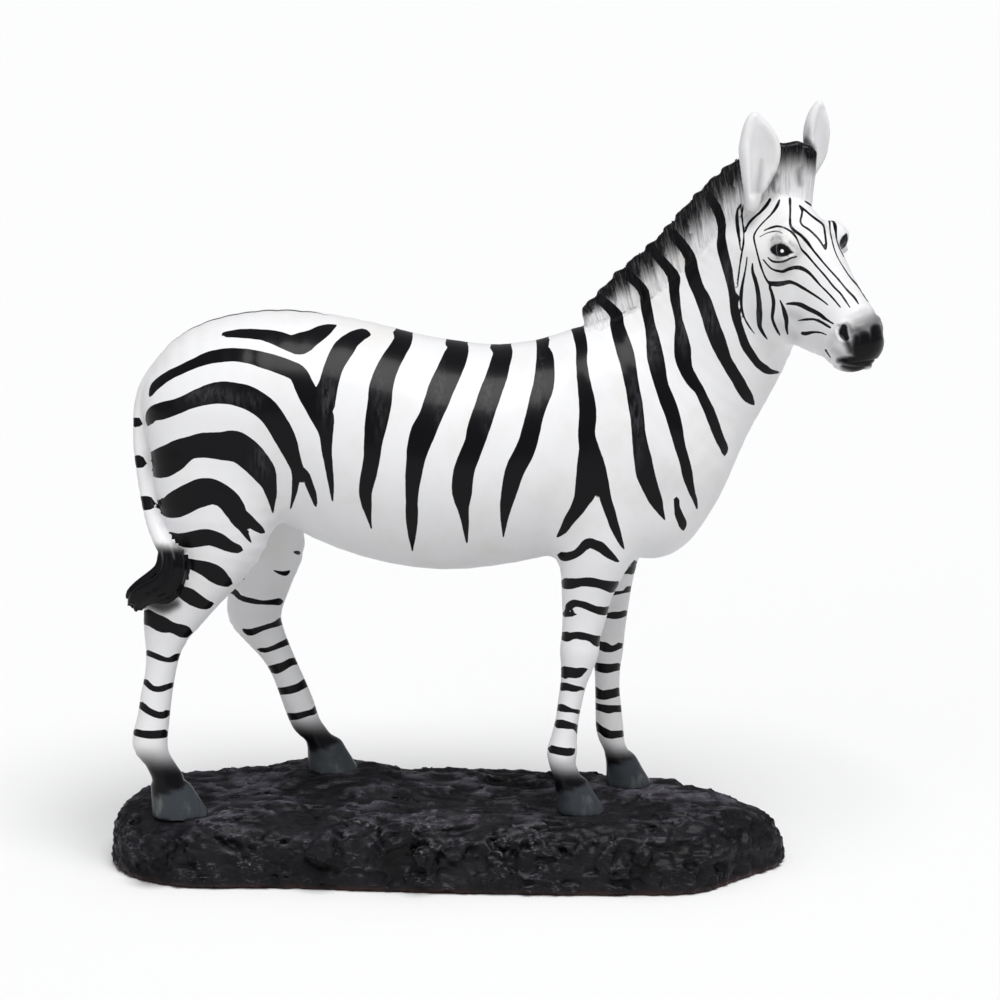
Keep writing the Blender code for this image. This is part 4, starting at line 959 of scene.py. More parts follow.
def stroke_values(stroke, uv):
    """Signed offset from the stroke's middle line and its half width there, both in sheet units."""
    best = np.full(len(uv), np.inf)
    offset, half = np.zeros(len(uv)), np.zeros(len(uv))
    last = len(stroke) - 2
    for i, (start, end) in enumerate(zip(stroke[:-1], stroke[1:])):
        line = end[:2] - start[:2]
        length = max(float(np.hypot(*line)), 1e-6)
        away = uv - start[:2]
        t = away @ line / length ** 2
        inner = np.clip(t, 0.0, 1.0)
        across = (line[0] * away[:, 1] - line[1] * away[:, 0]) / length
        distance = np.hypot(*(away - inner[:, None] * line).T)
        over = np.zeros(len(uv))
        if i == 0:
            over = np.where(t < 0, -t * length, over)
        if i == last:
            over = np.where(t > 1, (t - 1) * length, over)
        width = start[2] + inner * (end[2] - start[2])
        signed = np.where(over > 0, across, np.copysign(distance, across))
        rank = distance - width
        better = rank < best
        best = np.where(better, rank, best)
        offset = np.where(better, signed, offset)
        half = np.where(better, width - END_TAPER * over, half)
    return offset, half


def near_stroke(stroke, uv, reach):
    """Which of the places lie in the stroke's box, widened by the reach."""
    margin = reach + stroke[:, 2].max()
    low, high = stroke[:, :2].min(axis=0) - margin, stroke[:, :2].max(axis=0) + margin
    return within(uv, low, high)


def lay_strokes(strokes, centres, corners, face_of):
    """Signed offset, half width and depth inside any stroke, for every face corner."""
    rows = [rounded(stroke, 3) for stroke in strokes]
    chosen, rank = np.full(len(centres), -1), np.full(len(centres), CHOICE_LIMIT)
    for k, stroke in enumerate(rows):
        near = near_stroke(stroke, centres, CHOICE_REACH)
        offset, half = stroke_values(stroke, centres[near])
        value = np.abs(offset) - half
        better = value < rank[near]
        rank[near[better]] = value[better]
        chosen[near[better]] = k
    owner = chosen[face_of]
    offset, half = np.full(len(corners), NO_STROKE), np.zeros(len(corners))
    depth = np.full(len(corners), STROKE_REACH)
    for k, stroke in enumerate(rows):
        mine = np.nonzero(owner == k)[0]
        if len(mine):
            offset[mine], half[mine] = stroke_values(stroke, corners[mine])
        near = near_stroke(stroke, corners, STROKE_REACH)
        near_offset, near_half = stroke_values(stroke, corners[near])
        depth[near] = np.minimum(depth[near], np.abs(near_offset) - near_half)
    return offset, half, depth


def soft_stroke(stations, uv, soft):
    """One inside a stroke, zero outside, with an airbrushed edge of the given width all round."""
    rows = rounded(stations, 3)
    nearest = np.full(len(uv), STROKE_REACH)
    for start, end in zip(rows[:-1], rows[1:]):
        line = end[:2] - start[:2]
        t = np.clip((uv - start[:2]) @ line / max(line @ line, 1e-9), 0.0, 1.0)
        away = np.hypot(*(uv - start[:2] - t[:, None] * line).T)
        nearest = np.minimum(nearest, away - start[2] - t * (end[2] - start[2]))
    return 1.0 - smooth_step(nearest, -soft / 2, soft / 2)


strokes = RUMP + NEAR_HIND_BANDS + BARREL + SHOULDER + FACE + NEAR_FORE_BANDS
print("strokes on the near side:", len(strokes))

# %% Where the sheet shows each face
PART_NAMES = ("trunk", "neck", "head", "near_hind", "far_hind", "near_fore", "far_fore", "mane", "ear",
              "tail", "tuft", "hoof")
THIGH_SHIFT = ((400, 0), (430, 10), (470, 21), (510, 33), (545, 49), (572, 58), (598, 71), (640, 80))
ARM_SHIFT = 14.0
FAR_HIND_SWITCH, FAR_FORE_SWITCH = 640.0, 604.0
NECK_TURN = 8.0
# Thin parts count as this much nearer, so that they keep their own skin, in mm
THIN_GAIN, TAIL_GAIN, HOOF_RADIUS = 0.8, 0.3, 12.0
HEAD_FADE, LEG_FADE, FACING_LIMIT = (-3.0, 5.0), (-6.0, 8.0), -0.02


def is_any(part, *names):
    """Whether the numbers of parts stand for one of the names."""
    return np.isin(part, [PART_NAMES.index(name) for name in names])


def nearest_form(forms, points):
    """The field of the nearest of the forms, without any melting."""
    result = np.full(len(points), FAR_AWAY)
    for form in forms:
        near = within(points, form.low, form.high)
        if len(near):
            result[near] = np.minimum(result[near], form.distance(points[near]))
    return result


def part_fields(points):
    """How near each part of the animal is, one row for each of PART_NAMES."""
    hooves = []
    for name in HOOVES:
        centre = hoof_centre(name)
        away = np.hypot(*(points[:, :2] - centre[:2]).T) - HOOF_RADIUS
        hooves.append(np.where(points[:, 2] > centre[2] + HOOF_HEIGHT, FAR_AWAY, away))
    groups = [([form], 0.0) for form in (trunk_form, neck_form, skull, *limb_forms.values())]
    groups += [(tufts, THIN_GAIN), ([near_ear_forms[0], far_ear_forms[0]], THIN_GAIN)]
    groups += [(tail_forms[:1], TAIL_GAIN), (tail_forms[1:], TAIL_GAIN)]
    return np.stack([nearest_form(forms, points) - gain for forms, gain in groups] + [np.min(hooves, axis=0)])


neck_start, neck_end = at(*NECK[0][:3]), at(*NECK[-1][:3])


def neck_middle(points):
    """The depth of the neck's mid-plane, which turns a little towards us."""
    line = (neck_end - neck_start) * (1, 0, 1)
    share = np.clip((points - neck_start) @ line / (line @ line), 0.0, 1.0)
    return -NECK_TURN * share ** 1.5


def head_share_of(fields):
    """How much a place belongs to the head, and not to the neck."""
    return smooth_step(fields[1] - fields[2], *HEAD_FADE)


def seen_directly(points, fields, facing, part):
    """Whether a face takes the sheet as it is: the sheet shows it, or nothing is mirrored there."""
    v = drawn(points)[:, 1]
    direct = is_any(part, "near_hind", "near_fore", "ear", "tail", "tuft", "hoof")
    direct |= (head_share_of(fields) > 0.5) & facing
    direct |= is_any(part, "far_hind") & (facing | (v > FAR_HIND_SWITCH))
    direct |= is_any(part, "far_fore") & (facing | (v > FAR_FORE_SWITCH))
    return direct


def on_sheet(points, fields, direct):
    """Places on the sheet for the points: straight ones, and the far side folded over to the near side."""
    middle = neck_middle(points)
    side = in_head(points)[:, 2]
    over_body = points.copy()
    over_body[:, 1] = middle - np.abs(points[:, 1] - middle)
    over_head = points - 2 * np.minimum(side, 0.0)[:, None] * HEAD_SIDE
    folded = drawn(over_body + head_share_of(fields)[:, None] * (over_head - over_body))
    heights, shifts = np.array(THIGH_SHIFT, float).T
    far = points[:, 1] > 0
    hind_share = smooth_step(fields[0] - fields[4], *LEG_FADE)
    fore_share = smooth_step(fields[0] - fields[6], *LEG_FADE)
    folded[:, 0] -= np.where(far, hind_share * np.interp(folded[:, 1], heights, shifts), 0.0)
    folded[:, 0] -= np.where(far, fore_share * ARM_SHIFT, 0.0)
    return np.where(direct[:, None], drawn(points), folded)


# %% [markdown]
# ## Airbrushed paint and painted shade
# Some of the paint has no edge. The muzzle, the tips of the mane, the pasterns and the inside of
# the ears are blown on with an airbrush, and grey-brown is washed over the muzzle and the chin,
# with a lighter grey down the muzzle's middle as a painted highlight. Grey in the hollows round
# the eyes, on the cheeks and inside the ears is painted shade, and a soft dark patch beside the
# tail's tuft is its painted shadow. These are soft strokes and soft bands on the same sheet, kept
# as one value per corner.

# %% Soft paint of each part
# The eyes: strokes, width of their edge, strength
EYES = [
    ([(771, 249.3, 1), (775, 249.8, 4.6), (780, 250, 6.8), (785, 251, 5.4), (789.5, 252, 2.4),
      (793.5, 252.4, 0.5)], 1.0, 1.0),
    ([(841.5, 248, 1.4), (843, 243.5, 3.6), (844.6, 239, 3.4), (846.2, 234.4, 1.2)], 1.0, 1.0),
]
EYE_DOT, DOT_REACH, EYE_PAINT_SIDE = (782.1, 251.0, 1.7), 3.0, 6.0
# Black airbrush, and the painted shadow of the tail's tuft: strokes, width of their edge, strength
SOFT_BLACKS_AND_SHADOW = [
    ([(857, 338, 5), (857, 348, 7), (860, 357, 8)], 11, 0.97),
    ([(876, 330, 7.5), (876.5, 342, 9), (872, 355, 9)], 10, 1.0),
    ([(865, 338, 9), (866, 350, 12)], 13, 0.96),
    ([(884, 321, 1.5), (885.5, 328, 2.5), (884.5, 338, 3)], 3, 1.0),
    ([(855, 331, 5), (866, 328, 7), (878, 321, 6)], 15, 0.55),
    ([(839, 360.5, 2), (850, 361, 5), (862, 361, 6.5), (872, 361, 5)], 6, 1.0),
    ([(843, 366, 2), (853, 368, 3.5), (863, 367, 3)], 6, 0.85),
    ([(844, 327.5, 3.4), (843.5, 333, 4.6), (846, 338, 3.4)], 2.4, 0.97),
    ([(847, 342, 3), (852, 350, 5)], 8, 0.8),
    ([(845.2, 254.2, 0.9), (845.2, 254.2, 0.9)], 1, 0.9),
    ([(806, 142, 4), (811, 149, 4.5), (811, 158, 3)], 5, 1.0),
    ([(776, 190, 2), (772, 186, 3), (776, 176, 3)], 7, 0.5),
    ([(804, 163, 3), (799, 172, 3), (800, 184, 2)], 8, 0.38),
    # Painted shadow of the tail's tuft on the leg and rump beside it
    ([(150, 604, 3), (163, 607, 6), (176, 604, 4)], 9, 0.7),
    ([(173, 552, 3), (181, 553, 4)], 6, 0.7),
]
# Grey and brown: washes on the muzzle and the chin, a painted highlight down the middle of the muzzle, and
# painted shade in the hollows round the eyes, on the cheeks and in the ears: strokes, width of their edge,
# strength
SOFT_GREYS_AND_SHADE = [
    ([(853, 321, 4), (863, 317, 7), (874, 315, 5)], 13, 0.55),
    # Grey down the middle of the muzzle, standing in for its highlight
    ([(858, 330, 4), (864, 340, 7)], 9, 0.8),
    ([(834, 350, 3), (842, 356, 5)], 10, 0.55),
    ([(846, 371, 5), (858, 371, 4)], 6, 0.75),
    # From here on: painted shade round the eyes, on the cheeks and inside the ears
    ([(771, 253, 1), (768, 246, 1.2), (771, 241, 1), (777, 238, 1)], 5, 0.18),
    ([(788, 241, 1), (795, 246, 1)], 5, 0.22),
    ([(790, 313, 4), (800, 318, 4)], 11, 0.42),
    ([(780, 325, 4), (795, 338, 4)], 15, 0.34),
    ([(833, 335, 3), (832, 345, 3)], 10, 0.34),
    ([(757.5, 198, 1.4), (758.5, 188, 2.4), (760, 174, 1.6), (761.5, 160, 0.2)], 12, 0.85),
    ([(758, 140, 6), (764, 160, 6)], 16, 0.12),
    ([(804, 141, 3), (808, 134, 2), (809, 127, 1)], 9, 0.75),
    ([(808, 124, 1), (808, 134, 3)], 12, 0.45),
    ([(771, 246.5, 1), (776, 242, 1), (783, 240.5, 1)], 3, 0.25),
    ([(772, 197, 4), (780, 188, 3)], 7, 0.3),
]
# Bands of black on the pasterns: part, first and last v
SOCKS = {"near_hind": (743, 778), "far_hind": (711, 742), "near_fore": (758, 784), "far_fore": (740, 764)}
# Height of the coronet over the sole in mm, and how much it rises towards the toe
CORONET_HEIGHT, CORONET_RISE = 12.2, 0.34
CORONET_EDGE, HOOF_PAINT_REACH, HOOF_PAINT_HEIGHT = (-0.7, 0.5), 26, 45
# Where light-grey streaks run through the black, partly the brush and partly a painted sheen where the gloss
# would catch the lamps: centre u and v, half sizes, strength
STREAK_AND_SHEEN_PATCHES = [
    (328, 400, 10, 34, 1.0), (635, 425, 12, 55, 0.9), (655, 340, 8, 34, 1.0), (683, 325, 8, 36, 1.0),
    (710, 318, 12, 30, 1.0), (728, 280, 8, 34, 1.0), (207, 395, 32, 12, 0.9), (261, 460, 13, 22, 0.9),
    (380, 400, 9, 50, 0.6), (440, 395, 9, 45, 0.6), (488, 400, 9, 45, 0.6), (540, 380, 8, 40, 0.6),
    (759, 310, 4, 20, 0.9), (797, 268, 14, 4, 0.9), (783, 284, 10, 4, 0.8), (240, 400, 30, 12, 0.6),
]
# Thin paint darkens quickly: the light that comes through falls with this power of the bare share
AIRBRUSH_FADE = 2.0
# Where the hair turns black and grey, as shares of the way from root to tip
FORELOCK_BLACK, MANE_BLACK, MANE_GREY, GREY_STRENGTH = (0.42, 0.97), (0.20, 0.86), (0.05, 0.7), 0.5
FORELOCK_LEFT, FORELOCK_HAIR, EAR_BLACK, TAIL_BLACK = 762, 0.65, 0.55, (540, 556)
mane_roots = np.array([root for root, _, _ in MANE], float)
mane_tips = np.array([tip for _, tip, _ in MANE], float)
mane_marks = np.concatenate(((0.0,), np.cumsum(np.hypot(*np.diff(mane_roots, axis=0).T))))


def mane_place(uv):
    """Place along the crest in sheet units, and share of the way from root to tip."""
    best = np.full(len(uv), np.inf)
    along, rise = np.zeros(len(uv)), np.zeros(len(uv))
    for root, tip, mark in zip(mane_roots, mane_tips, mane_marks):
        line = tip - root
        length = np.hypot(*line)
        away = uv - root
        across = (away[:, 0] * line[1] - away[:, 1] * line[0]) / length
        nearer = np.abs(across) < best
        best = np.where(nearer, np.abs(across), best)
        along = np.where(nearer, mark - across, along)
        rise = np.where(nearer, away @ line / length ** 2, rise)
    return along, rise


def sprayed(washes, uv):
    """The strength of the strongest of the soft strokes at each place."""
    result = np.zeros(len(uv))
    for stations, soft, strength in washes:
        stroke = np.array(stations, float)
        near = near_stroke(stroke, uv, soft)
        result[near] = np.maximum(result[near], strength * soft_stroke(stroke, uv[near], soft))
    return result


def soft_paint(points, uv, part):
    """All the paint values of the points that aren't stripes."""
    black, grey, eye = (sprayed(washes, uv) for washes in (SOFT_BLACKS_AND_SHADOW, SOFT_GREYS_AND_SHADE, EYES))
    along, rise = mane_place(uv)
    in_mane, forelock = is_any(part, "mane"), uv[:, 0] > FORELOCK_LEFT
    tip_black = np.where(forelock, smooth_step(rise, *FORELOCK_BLACK), smooth_step(rise, *MANE_BLACK))
    black = np.where(is_any(part, "ear"), EAR_BLACK * black, black)
    black = np.where(in_mane, np.maximum(black, tip_black), black)
    grey = np.where(in_mane, np.maximum(grey, GREY_STRENGTH * smooth_step(rise, *MANE_GREY)), grey)
    tail_end = smooth_step(uv[:, 1], *TAIL_BLACK)
    black = np.where(is_any(part, "tuft", "tail"), np.maximum(black, tail_end), black)
    hoof = np.zeros(len(uv))
    straight_v = drawn(points)[:, 1]
    for name, sock in SOCKS.items():
        offset = points - hoof_centre(name)
        here = (np.hypot(offset[:, 0], offset[:, 1]) < HOOF_PAINT_REACH) & (offset[:, 2] < HOOF_PAINT_HEIGHT)
        black = np.where(here, np.maximum(black, smooth_step(straight_v, *sock)), black)
        over_coronet = offset[:, 2] - CORONET_HEIGHT - CORONET_RISE * offset[:, 0]
        hoof = np.where(here, np.maximum(hoof, 1 - smooth_step(over_coronet, *CORONET_EDGE)), hoof)
    black = 1 - (1 - black) ** AIRBRUSH_FADE
    # Light-grey streaks in the black: the brush, and a painted sheen where the gloss would catch the lamps
    streak_and_sheen = np.zeros(len(uv))
    for u, v, half_u, half_v, strength in STREAK_AND_SHEEN_PATCHES:
        away = np.hypot((uv[:, 0] - u) / half_u, (uv[:, 1] - v) / half_v)
        streak_and_sheen = np.maximum(streak_and_sheen, strength * (1 - smooth_step(away, 0.3, 1.15)))
    eye = np.where(is_any(part, "head") & near_eyeballs(in_head(points), EYE_PAINT_SIDE), eye, 0.0)
    dot = np.hypot(uv[:, 0] - EYE_DOT[0], uv[:, 1] - EYE_DOT[1]) - EYE_DOT[2]
    return {"black": black, "grey": grey, "hoof": hoof, "streak_and_sheen": streak_and_sheen, "eye": eye,
            "dot": np.clip(dot, -DOT_REACH, DOT_REACH) * UNIT, "lock": along * UNIT, "rise": rise,
            "hair": in_mane * np.where(forelock, FORELOCK_HAIR, 1.0)}


def corner_data(mesh):
    """Corner points, the face of each corner, face centres and face normals."""
    totals = read_all(mesh.polygons, "loop_total", kind=int)
    corners = points_of(mesh)[read_all(mesh.loops, "vertex_index", kind=int)]
    centres, normals = (read_all(mesh.polygons, name, 3).reshape(-1, 3) for name in ("center", "normal"))
    return corners, np.repeat(np.arange(len(totals)), totals), centres, normals


def store(mesh, name, values):
    """Keeps one number per face corner under the name."""
    layer = mesh.attributes.get(name) or mesh.attributes.new(name, "FLOAT", "CORNER")
    layer.data.foreach_set("value", np.asarray(values, np.float32))


# The line along the back: u and half width in mm
DORSAL_LINE, NO_LINE = ((165, 0.9), (200, 1.3), (300, 1.3), (335, 0.5)), -9.0


def add_dorsal_line(points, centres, normals, part, offset, half):
    """Adds the thin line along the back of the rump, where it is nearer than the corner's stroke."""
    starts, widths = np.array(DORSAL_LINE, float).T
    line_half = np.interp(drawn(points)[:, 0], starts, widths, left=NO_LINE, right=NO_LINE)
    u = drawn(centres)[:, 0]
    on_top = (normals[:, 2] > 0.25) & (u > starts[0]) & (u < starts[-1])
    on_top &= is_any(part, "trunk", "near_hind", "far_hind")
    offset = np.where(on_top, np.abs(offset), offset)
    nearer = on_top & (np.abs(points[:, 1]) - line_half < offset - half)
    return np.where(nearer, np.abs(points[:, 1]), offset), np.where(nearer, line_half, half)


def paint(mesh, only=None):
    """Lays all the paint values on a sculpted mesh, which may be all of one part."""
    corners, face_of, centres, normals = corner_data(mesh)
    fields = part_fields(centres)
    part = fields.argmin(axis=0) if only is None else np.full(len(centres), PART_NAMES.index(only))
    direct = seen_directly(centres, fields, normals @ AHEAD < FACING_LIMIT, part)
    centre_uv = on_sheet(centres, fields, direct)
    corner_uv = on_sheet(corners, part_fields(corners), direct[face_of])
    sheets = {"far_hind": FAR_HIND_BANDS, "far_fore": FAR_FORE_BANDS, "tail": TAIL_MARKS, "ear": [],
              "tuft": [], "hoof": []}
    sheet_of = np.zeros(len(part), int)
    for i, name in enumerate(sheets, start=1):
        sheet_of[is_any(part, name) & direct] = i
    offset, half = np.full(len(corners), NO_STROKE), np.zeros(len(corners))
    depth = np.full(len(corners), STROKE_REACH)
    for i, group in enumerate([strokes, *sheets.values()]):
        here = sheet_of == i
        mine = here[face_of]
        if not group or not here.any():
            continue
        numbering = np.cumsum(here) - 1
        result = lay_strokes(group, centre_uv[here], corner_uv[mine], numbering[face_of[mine]])
        offset[mine], half[mine], depth[mine] = result
    offset, half = offset * UNIT, half * UNIT
    offset, half = add_dorsal_line(corners, centres[face_of], normals[face_of], part[face_of], offset, half)
    store(mesh, "stripe_offset", offset)
    store(mesh, "stripe_half", half)
    store(mesh, "stripe_depth", depth * UNIT)
    for name, values in soft_paint(corners, corner_uv, part[face_of]).items():
        store(mesh, name, values)
    return {name: int((part == i).sum()) for i, name in enumerate(PART_NAMES)}


print("faces painted:", paint(zebra.data))

# %% [markdown]
# ## Paint as a material
# The casting has one finish: satin white with glossy black laid over it. The shader reads the
# values that were stored on the corners. A stripe is black where the offset is smaller than the
# half width. A little noise is added to the offset first, so the edge trembles like a hand-drawn
# one. Inside the widest stripes, long streaks of grey let the brush show, and they are partly a
# painted sheen where the glossy black would catch the lamps.

# %% Painted zebra finish
def feed(tree, socket, value):
    """Gives an input its value: a number, a colour or a socket to link from."""
    if isinstance(value, bpy.types.NodeSocket):
        tree.links.new(value, socket)
    else:
        socket.default_value = value


def add_node(tree, kind, inputs=None, **settings):
    """A node with its settings and its inputs."""
    item = tree.nodes.new(kind)
    for key, value in settings.items():
        setattr(item, key, value)
    for key, value in (inputs or {}).items():
        feed(tree, item.inputs[key], value)
    return item


def math_node(tree, operation, *values):
    """The result of a sum on numbers or sockets."""
    return add_node(tree, "ShaderNodeMath", dict(enumerate(values)), operation=operation).outputs[0]


def times(tree, one, two):
    """The product of two numbers or sockets."""
    return math_node(tree, "MULTIPLY", one, two)


def ramp_node(tree, value, low, high, start=0.0, end=1.0, kind="SMOOTHSTEP"):
    """The value's place between low and high, mapped to the range from start to end."""
    inputs = {"Value": value, "From Min": low, "From Max": high, "To Min": start, "To Max": end}
    return add_node(tree, "ShaderNodeMapRange", inputs, interpolation_type=kind).outputs["Result"]


def mixed(tree, share, one, two):
    """Two colours mixed by the share."""
    item = add_node(tree, "ShaderNodeMix", data_type="RGBA")
    for key, value in (("Factor_Float", share), ("A_Color", one), ("B_Color", two)):
        feed(tree, next(s for s in item.inputs if s.identifier == key), value)
    return next(s for s in item.outputs if s.identifier == "Result_Color")


def noise_node(tree, vector, scale, detail=2.0, roughness=0.5):
    """A noise value around 0.5."""
    inputs = {"Vector": vector, "Scale": scale, "Detail": detail, "Roughness": roughness}
    return add_node(tree, "ShaderNodeTexNoise", inputs).outputs["Fac"]


def stretched(tree, vector, scale):
    """The coordinate, scaled by axis."""
    return add_node(tree, "ShaderNodeMapping", {"Vector": vector, "Scale": scale}).outputs["Vector"]


def painted(tree, name):
    """A value stored on the corners."""
    return add_node(tree, "ShaderNodeAttribute", attribute_name=name).outputs["Fac"]


def new_finish(name):
    """A new material, its node tree, its shader and the place on the object."""
    finish = bpy.data.materials.new(name)
    finish.use_nodes = True
    tree = finish.node_tree
    place = add_node(tree, "ShaderNodeTexCoord").outputs["Object"]
    return finish, tree, tree.nodes["Principled BSDF"], place


WHITE, WHITE_WARM = (0.735, 0.735, 0.75, 1), (0.70, 0.69, 0.675, 1)
# The grey-brown of the airbrush wash, also used for the painted shade in the hollows
WASH_AND_SHADE = (0.27, 0.255, 0.25, 1)
# The second colour here is the grey of the brush streaks and of the painted sheen in the black
BLACK, STREAK_AND_SHEEN_GREY = (0.0035, 0.0032, 0.0042, 1), (0.060, 0.057, 0.063, 1)
# The second hoof colour is a painted highlight on the hooves
HOOF_GREY, HOOF_SHEEN = (0.040, 0.046, 0.052, 1), (0.17, 0.17, 0.16, 1)
HAIR_GREY = (0.30, 0.29, 0.30, 1)
EYE_BLACK, EYE_LIGHT = (0.004, 0.004, 0.005, 1), (0.95, 0.95, 0.95, 1)
EDGE_WOBBLE, EDGE_SOFTNESS, DOT_SOFTNESS = 0.35, 0.10, 0.12


def make_zebra_finish():
    """White satin with painted shade, black gloss stripes with painted sheen, airbrushed dark parts, slate
    hooves with a painted highlight, wet black eyes.
    """
    finish, tree, shader, place = new_finish("painted_zebra")
    wobble = math_node(tree, "SUBTRACT", noise_node(tree, place, 260.0), 0.5)
    inside = math_node(tree, "SUBTRACT", math_node(tree, "ABSOLUTE", painted(tree, "stripe_offset")),
                       painted(tree, "stripe_half"))
    inside = math_node(tree, "MINIMUM", inside, painted(tree, "stripe_depth"))
    inside = math_node(tree, "ADD", inside, times(tree, wobble, EDGE_WOBBLE))
    stripe = ramp_node(tree, inside, -EDGE_SOFTNESS, EDGE_SOFTNESS, 1.0, 0.0)
    strand_place = add_node(tree, "ShaderNodeCombineXYZ", {
        "X": times(tree, painted(tree, "lock"), 0.55),
        "Y": times(tree, painted(tree, "rise"), 0.9)}).outputs["Vector"]
    strand = noise_node(tree, strand_place, 2.4, detail=4.0, roughness=0.7)
    hair = painted(tree, "hair")
    swing = times(tree, math_node(tree, "SUBTRACT", strand, 0.5), 0.8)
    swing = times(tree, swing, hair)
    swing = times(tree, swing, ramp_node(tree, painted(tree, "black"), 0.0, 0.25))
    dark = math_node(tree, "ADD", painted(tree, "black"), swing)
    dark = ramp_node(tree, dark, 0.0, 1.0, kind="LINEAR")
    mottle = noise_node(tree, place, 55.0, detail=4.0, roughness=0.6)
    colour = mixed(tree, ramp_node(tree, mottle, 0.42, 0.75), WHITE, WHITE_WARM)
    # Grey wash from the airbrush, and painted shade in the hollows of the face and the ears
    colour = mixed(tree, painted(tree, "grey"), colour, WASH_AND_SHADE)
    hair_share = times(tree, hair, ramp_node(tree, strand, 0.35, 0.65))
    colour = mixed(tree, times(tree, hair_share, 0.38), colour, HAIR_GREY)
    # Grey streaks in the widest stripes: the brush, and a painted sheen
    brushed = noise_node(tree, stretched(tree, place, (1.0, 0.8, 0.16)), 700.0, detail=3.0, roughness=0.65)
    streak_and_sheen = times(tree, painted(tree, "streak_and_sheen"), ramp_node(tree, brushed, 0.36, 0.66))
    streak_and_sheen = times(tree, streak_and_sheen, 0.55)
    # Lighter clumps in the black of the mane: a painted sheen on the locks
    clump_sheen = times(tree, ramp_node(tree, strand, 0.58, 0.80), hair)
    streak_and_sheen = math_node(tree, "MAXIMUM", streak_and_sheen, clump_sheen)
    ink = mixed(tree, streak_and_sheen, BLACK, STREAK_AND_SHEEN_GREY)
    colour = mixed(tree, math_node(tree, "MAXIMUM", stripe, dark), colour, ink)
    # Slate hooves with a painted highlight where this noise runs high
    hoof_sheen_noise = noise_node(tree, stretched(tree, place, (1.0, 1.0, 0.35)), 160.0, detail=3.0, roughness=0.6)
    colour = mixed(tree, painted(tree, "hoof"), colour, mixed(
        tree, times(tree, ramp_node(tree, hoof_sheen_noise, 0.52, 0.8), 0.55), HOOF_GREY, HOOF_SHEEN))
    colour = mixed(tree, painted(tree, "eye"), colour, EYE_BLACK)
    dot = ramp_node(tree, painted(tree, "dot"), -DOT_SOFTNESS, DOT_SOFTNESS, 1.0, 0.0)
    colour = mixed(tree, times(tree, dot, painted(tree, "eye")), colour, EYE_LIGHT)
    tree.links.new(colour, shader.inputs["Base Color"])
    roughness = ramp_node(tree, math_node(tree, "MAXIMUM", stripe, dark), 0.0, 1.0, 0.42, 0.30)
    roughness = math_node(tree, "SUBTRACT", roughness, times(tree, painted(tree, "eye"), 0.22))
    tree.links.new(roughness, shader.inputs["Roughness"])
    shader.inputs["Specular IOR Level"].default_value = 0.08
    shader.inputs["Coat Weight"].default_value = 0.10
    shader.inputs["Coat Roughness"].default_value = 0.16
    return finish


painted_zebra = make_zebra_finish()
zebra.data.materials.append(painted_zebra)
print("zebra finish:", len(painted_zebra.node_tree.nodes), "nodes")

# %% [markdown]
# ## The rock
# The plinth is a cast lump of rock: battered sides, a top that swells and wrinkles like cooled
# lava, and stones pressed into the front. It could be a displaced box, but displacement along the
# normals tears at a sharp rim. So the rock is a field too: the outline and the top give a plain
# lump, and folded noise is added to the field before the skin is taken.

# %% Noise for the rock
NOISE_LATTICE = 32


def value_noise(places, seed):
    """Smooth noise between -1 and 1 on a seeded lattice with a spacing of one."""
    lattice = np.random.default_rng(seed).uniform(-1, 1, (NOISE_LATTICE,) * 3)
    base = np.floor(places).astype(int)
    share = places - base
    share = share * share * (3 - 2 * share)
    result = np.zeros(len(places))
    for corner in [(i, j, k) for i in (0, 1) for j in (0, 1) for k in (0, 1)]:
        weight = np.prod(np.where(corner, share, 1 - share), axis=1)
        result += weight * lattice[tuple(((base + corner) % NOISE_LATTICE).T)]
    return result


def layered_noise(places, size, seed, layers=3, fade=0.5):
    """Noise with lumps of the given size, and finer layers on them."""
    result = np.zeros(len(places))
    for layer in range(layers):
        result += fade ** layer * value_noise(places / size * 2 ** layer + 7.3 * layer, seed + layer)
    return result


# Outline of the plinth seen from above, as shares of its half length and half depth
PLINTH_OUTLINE = [
    (1.00, -0.04), (0.965, -0.33), (0.86, -0.62), (0.71, -0.96), (0.44, -1.0), (0.05, -0.96), (-0.22, -0.90),
    (-0.52, -0.83), (-0.78, -0.80), (-0.93, -0.56), (-1.00, -0.18), (-0.97, 0.25), (-0.86, 0.72),
    (-0.62, 0.93), (-0.30, 1.0), (0.05, 0.98), (0.38, 0.90), (0.62, 0.74), (0.82, 0.42), (0.96, 0.18),
]
ROCK_TOP, ROCK_BATTER, ROCK_ROUNDING = 25.7, 5.5, 12.0
# Swells of the top: x and y as shares of the half sizes, spread and height in millimetres
ROCK_SWELLS = [
    (-0.72, -0.42, 20, 0.8), (-0.38, -0.55, 24, -1.0), (0.02, -0.62, 22, 1.1), (0.40, -0.58, 20, -0.6),
    (0.72, -0.30, 18, 1.3), (0.86, 0.02, 14, -1.1), (0.60, 0.40, 22, 0.6), (0.18, 0.30, 26, -0.8),
    (-0.18, 0.10, 20, 1.3), (-0.55, 0.05, 18, -0.8), (-0.86, 0.20, 16, 1.0), (0.48, 0.02, 12, 1.4),
    (1.02, 0.05, 30, -5.1),
]
# Stones in the front and on the top: u, v, y, half sizes along x, y and z, tilt in degrees
STONES = [
    (158, 846, -39, 8, 5, 5, 12), (321, 846, -46.2, 5.5, 4, 5, 0), (397, 840, -46, 6.5, 4, 6.5, 15),
    (424, 858, -49.8, 4.5, 3.5, 4, -20), (644, 858, -50.8, 5, 3.5, 3.2, 25),
    (722, 851, -36.5, 6, 5, 4.5, 10),
]
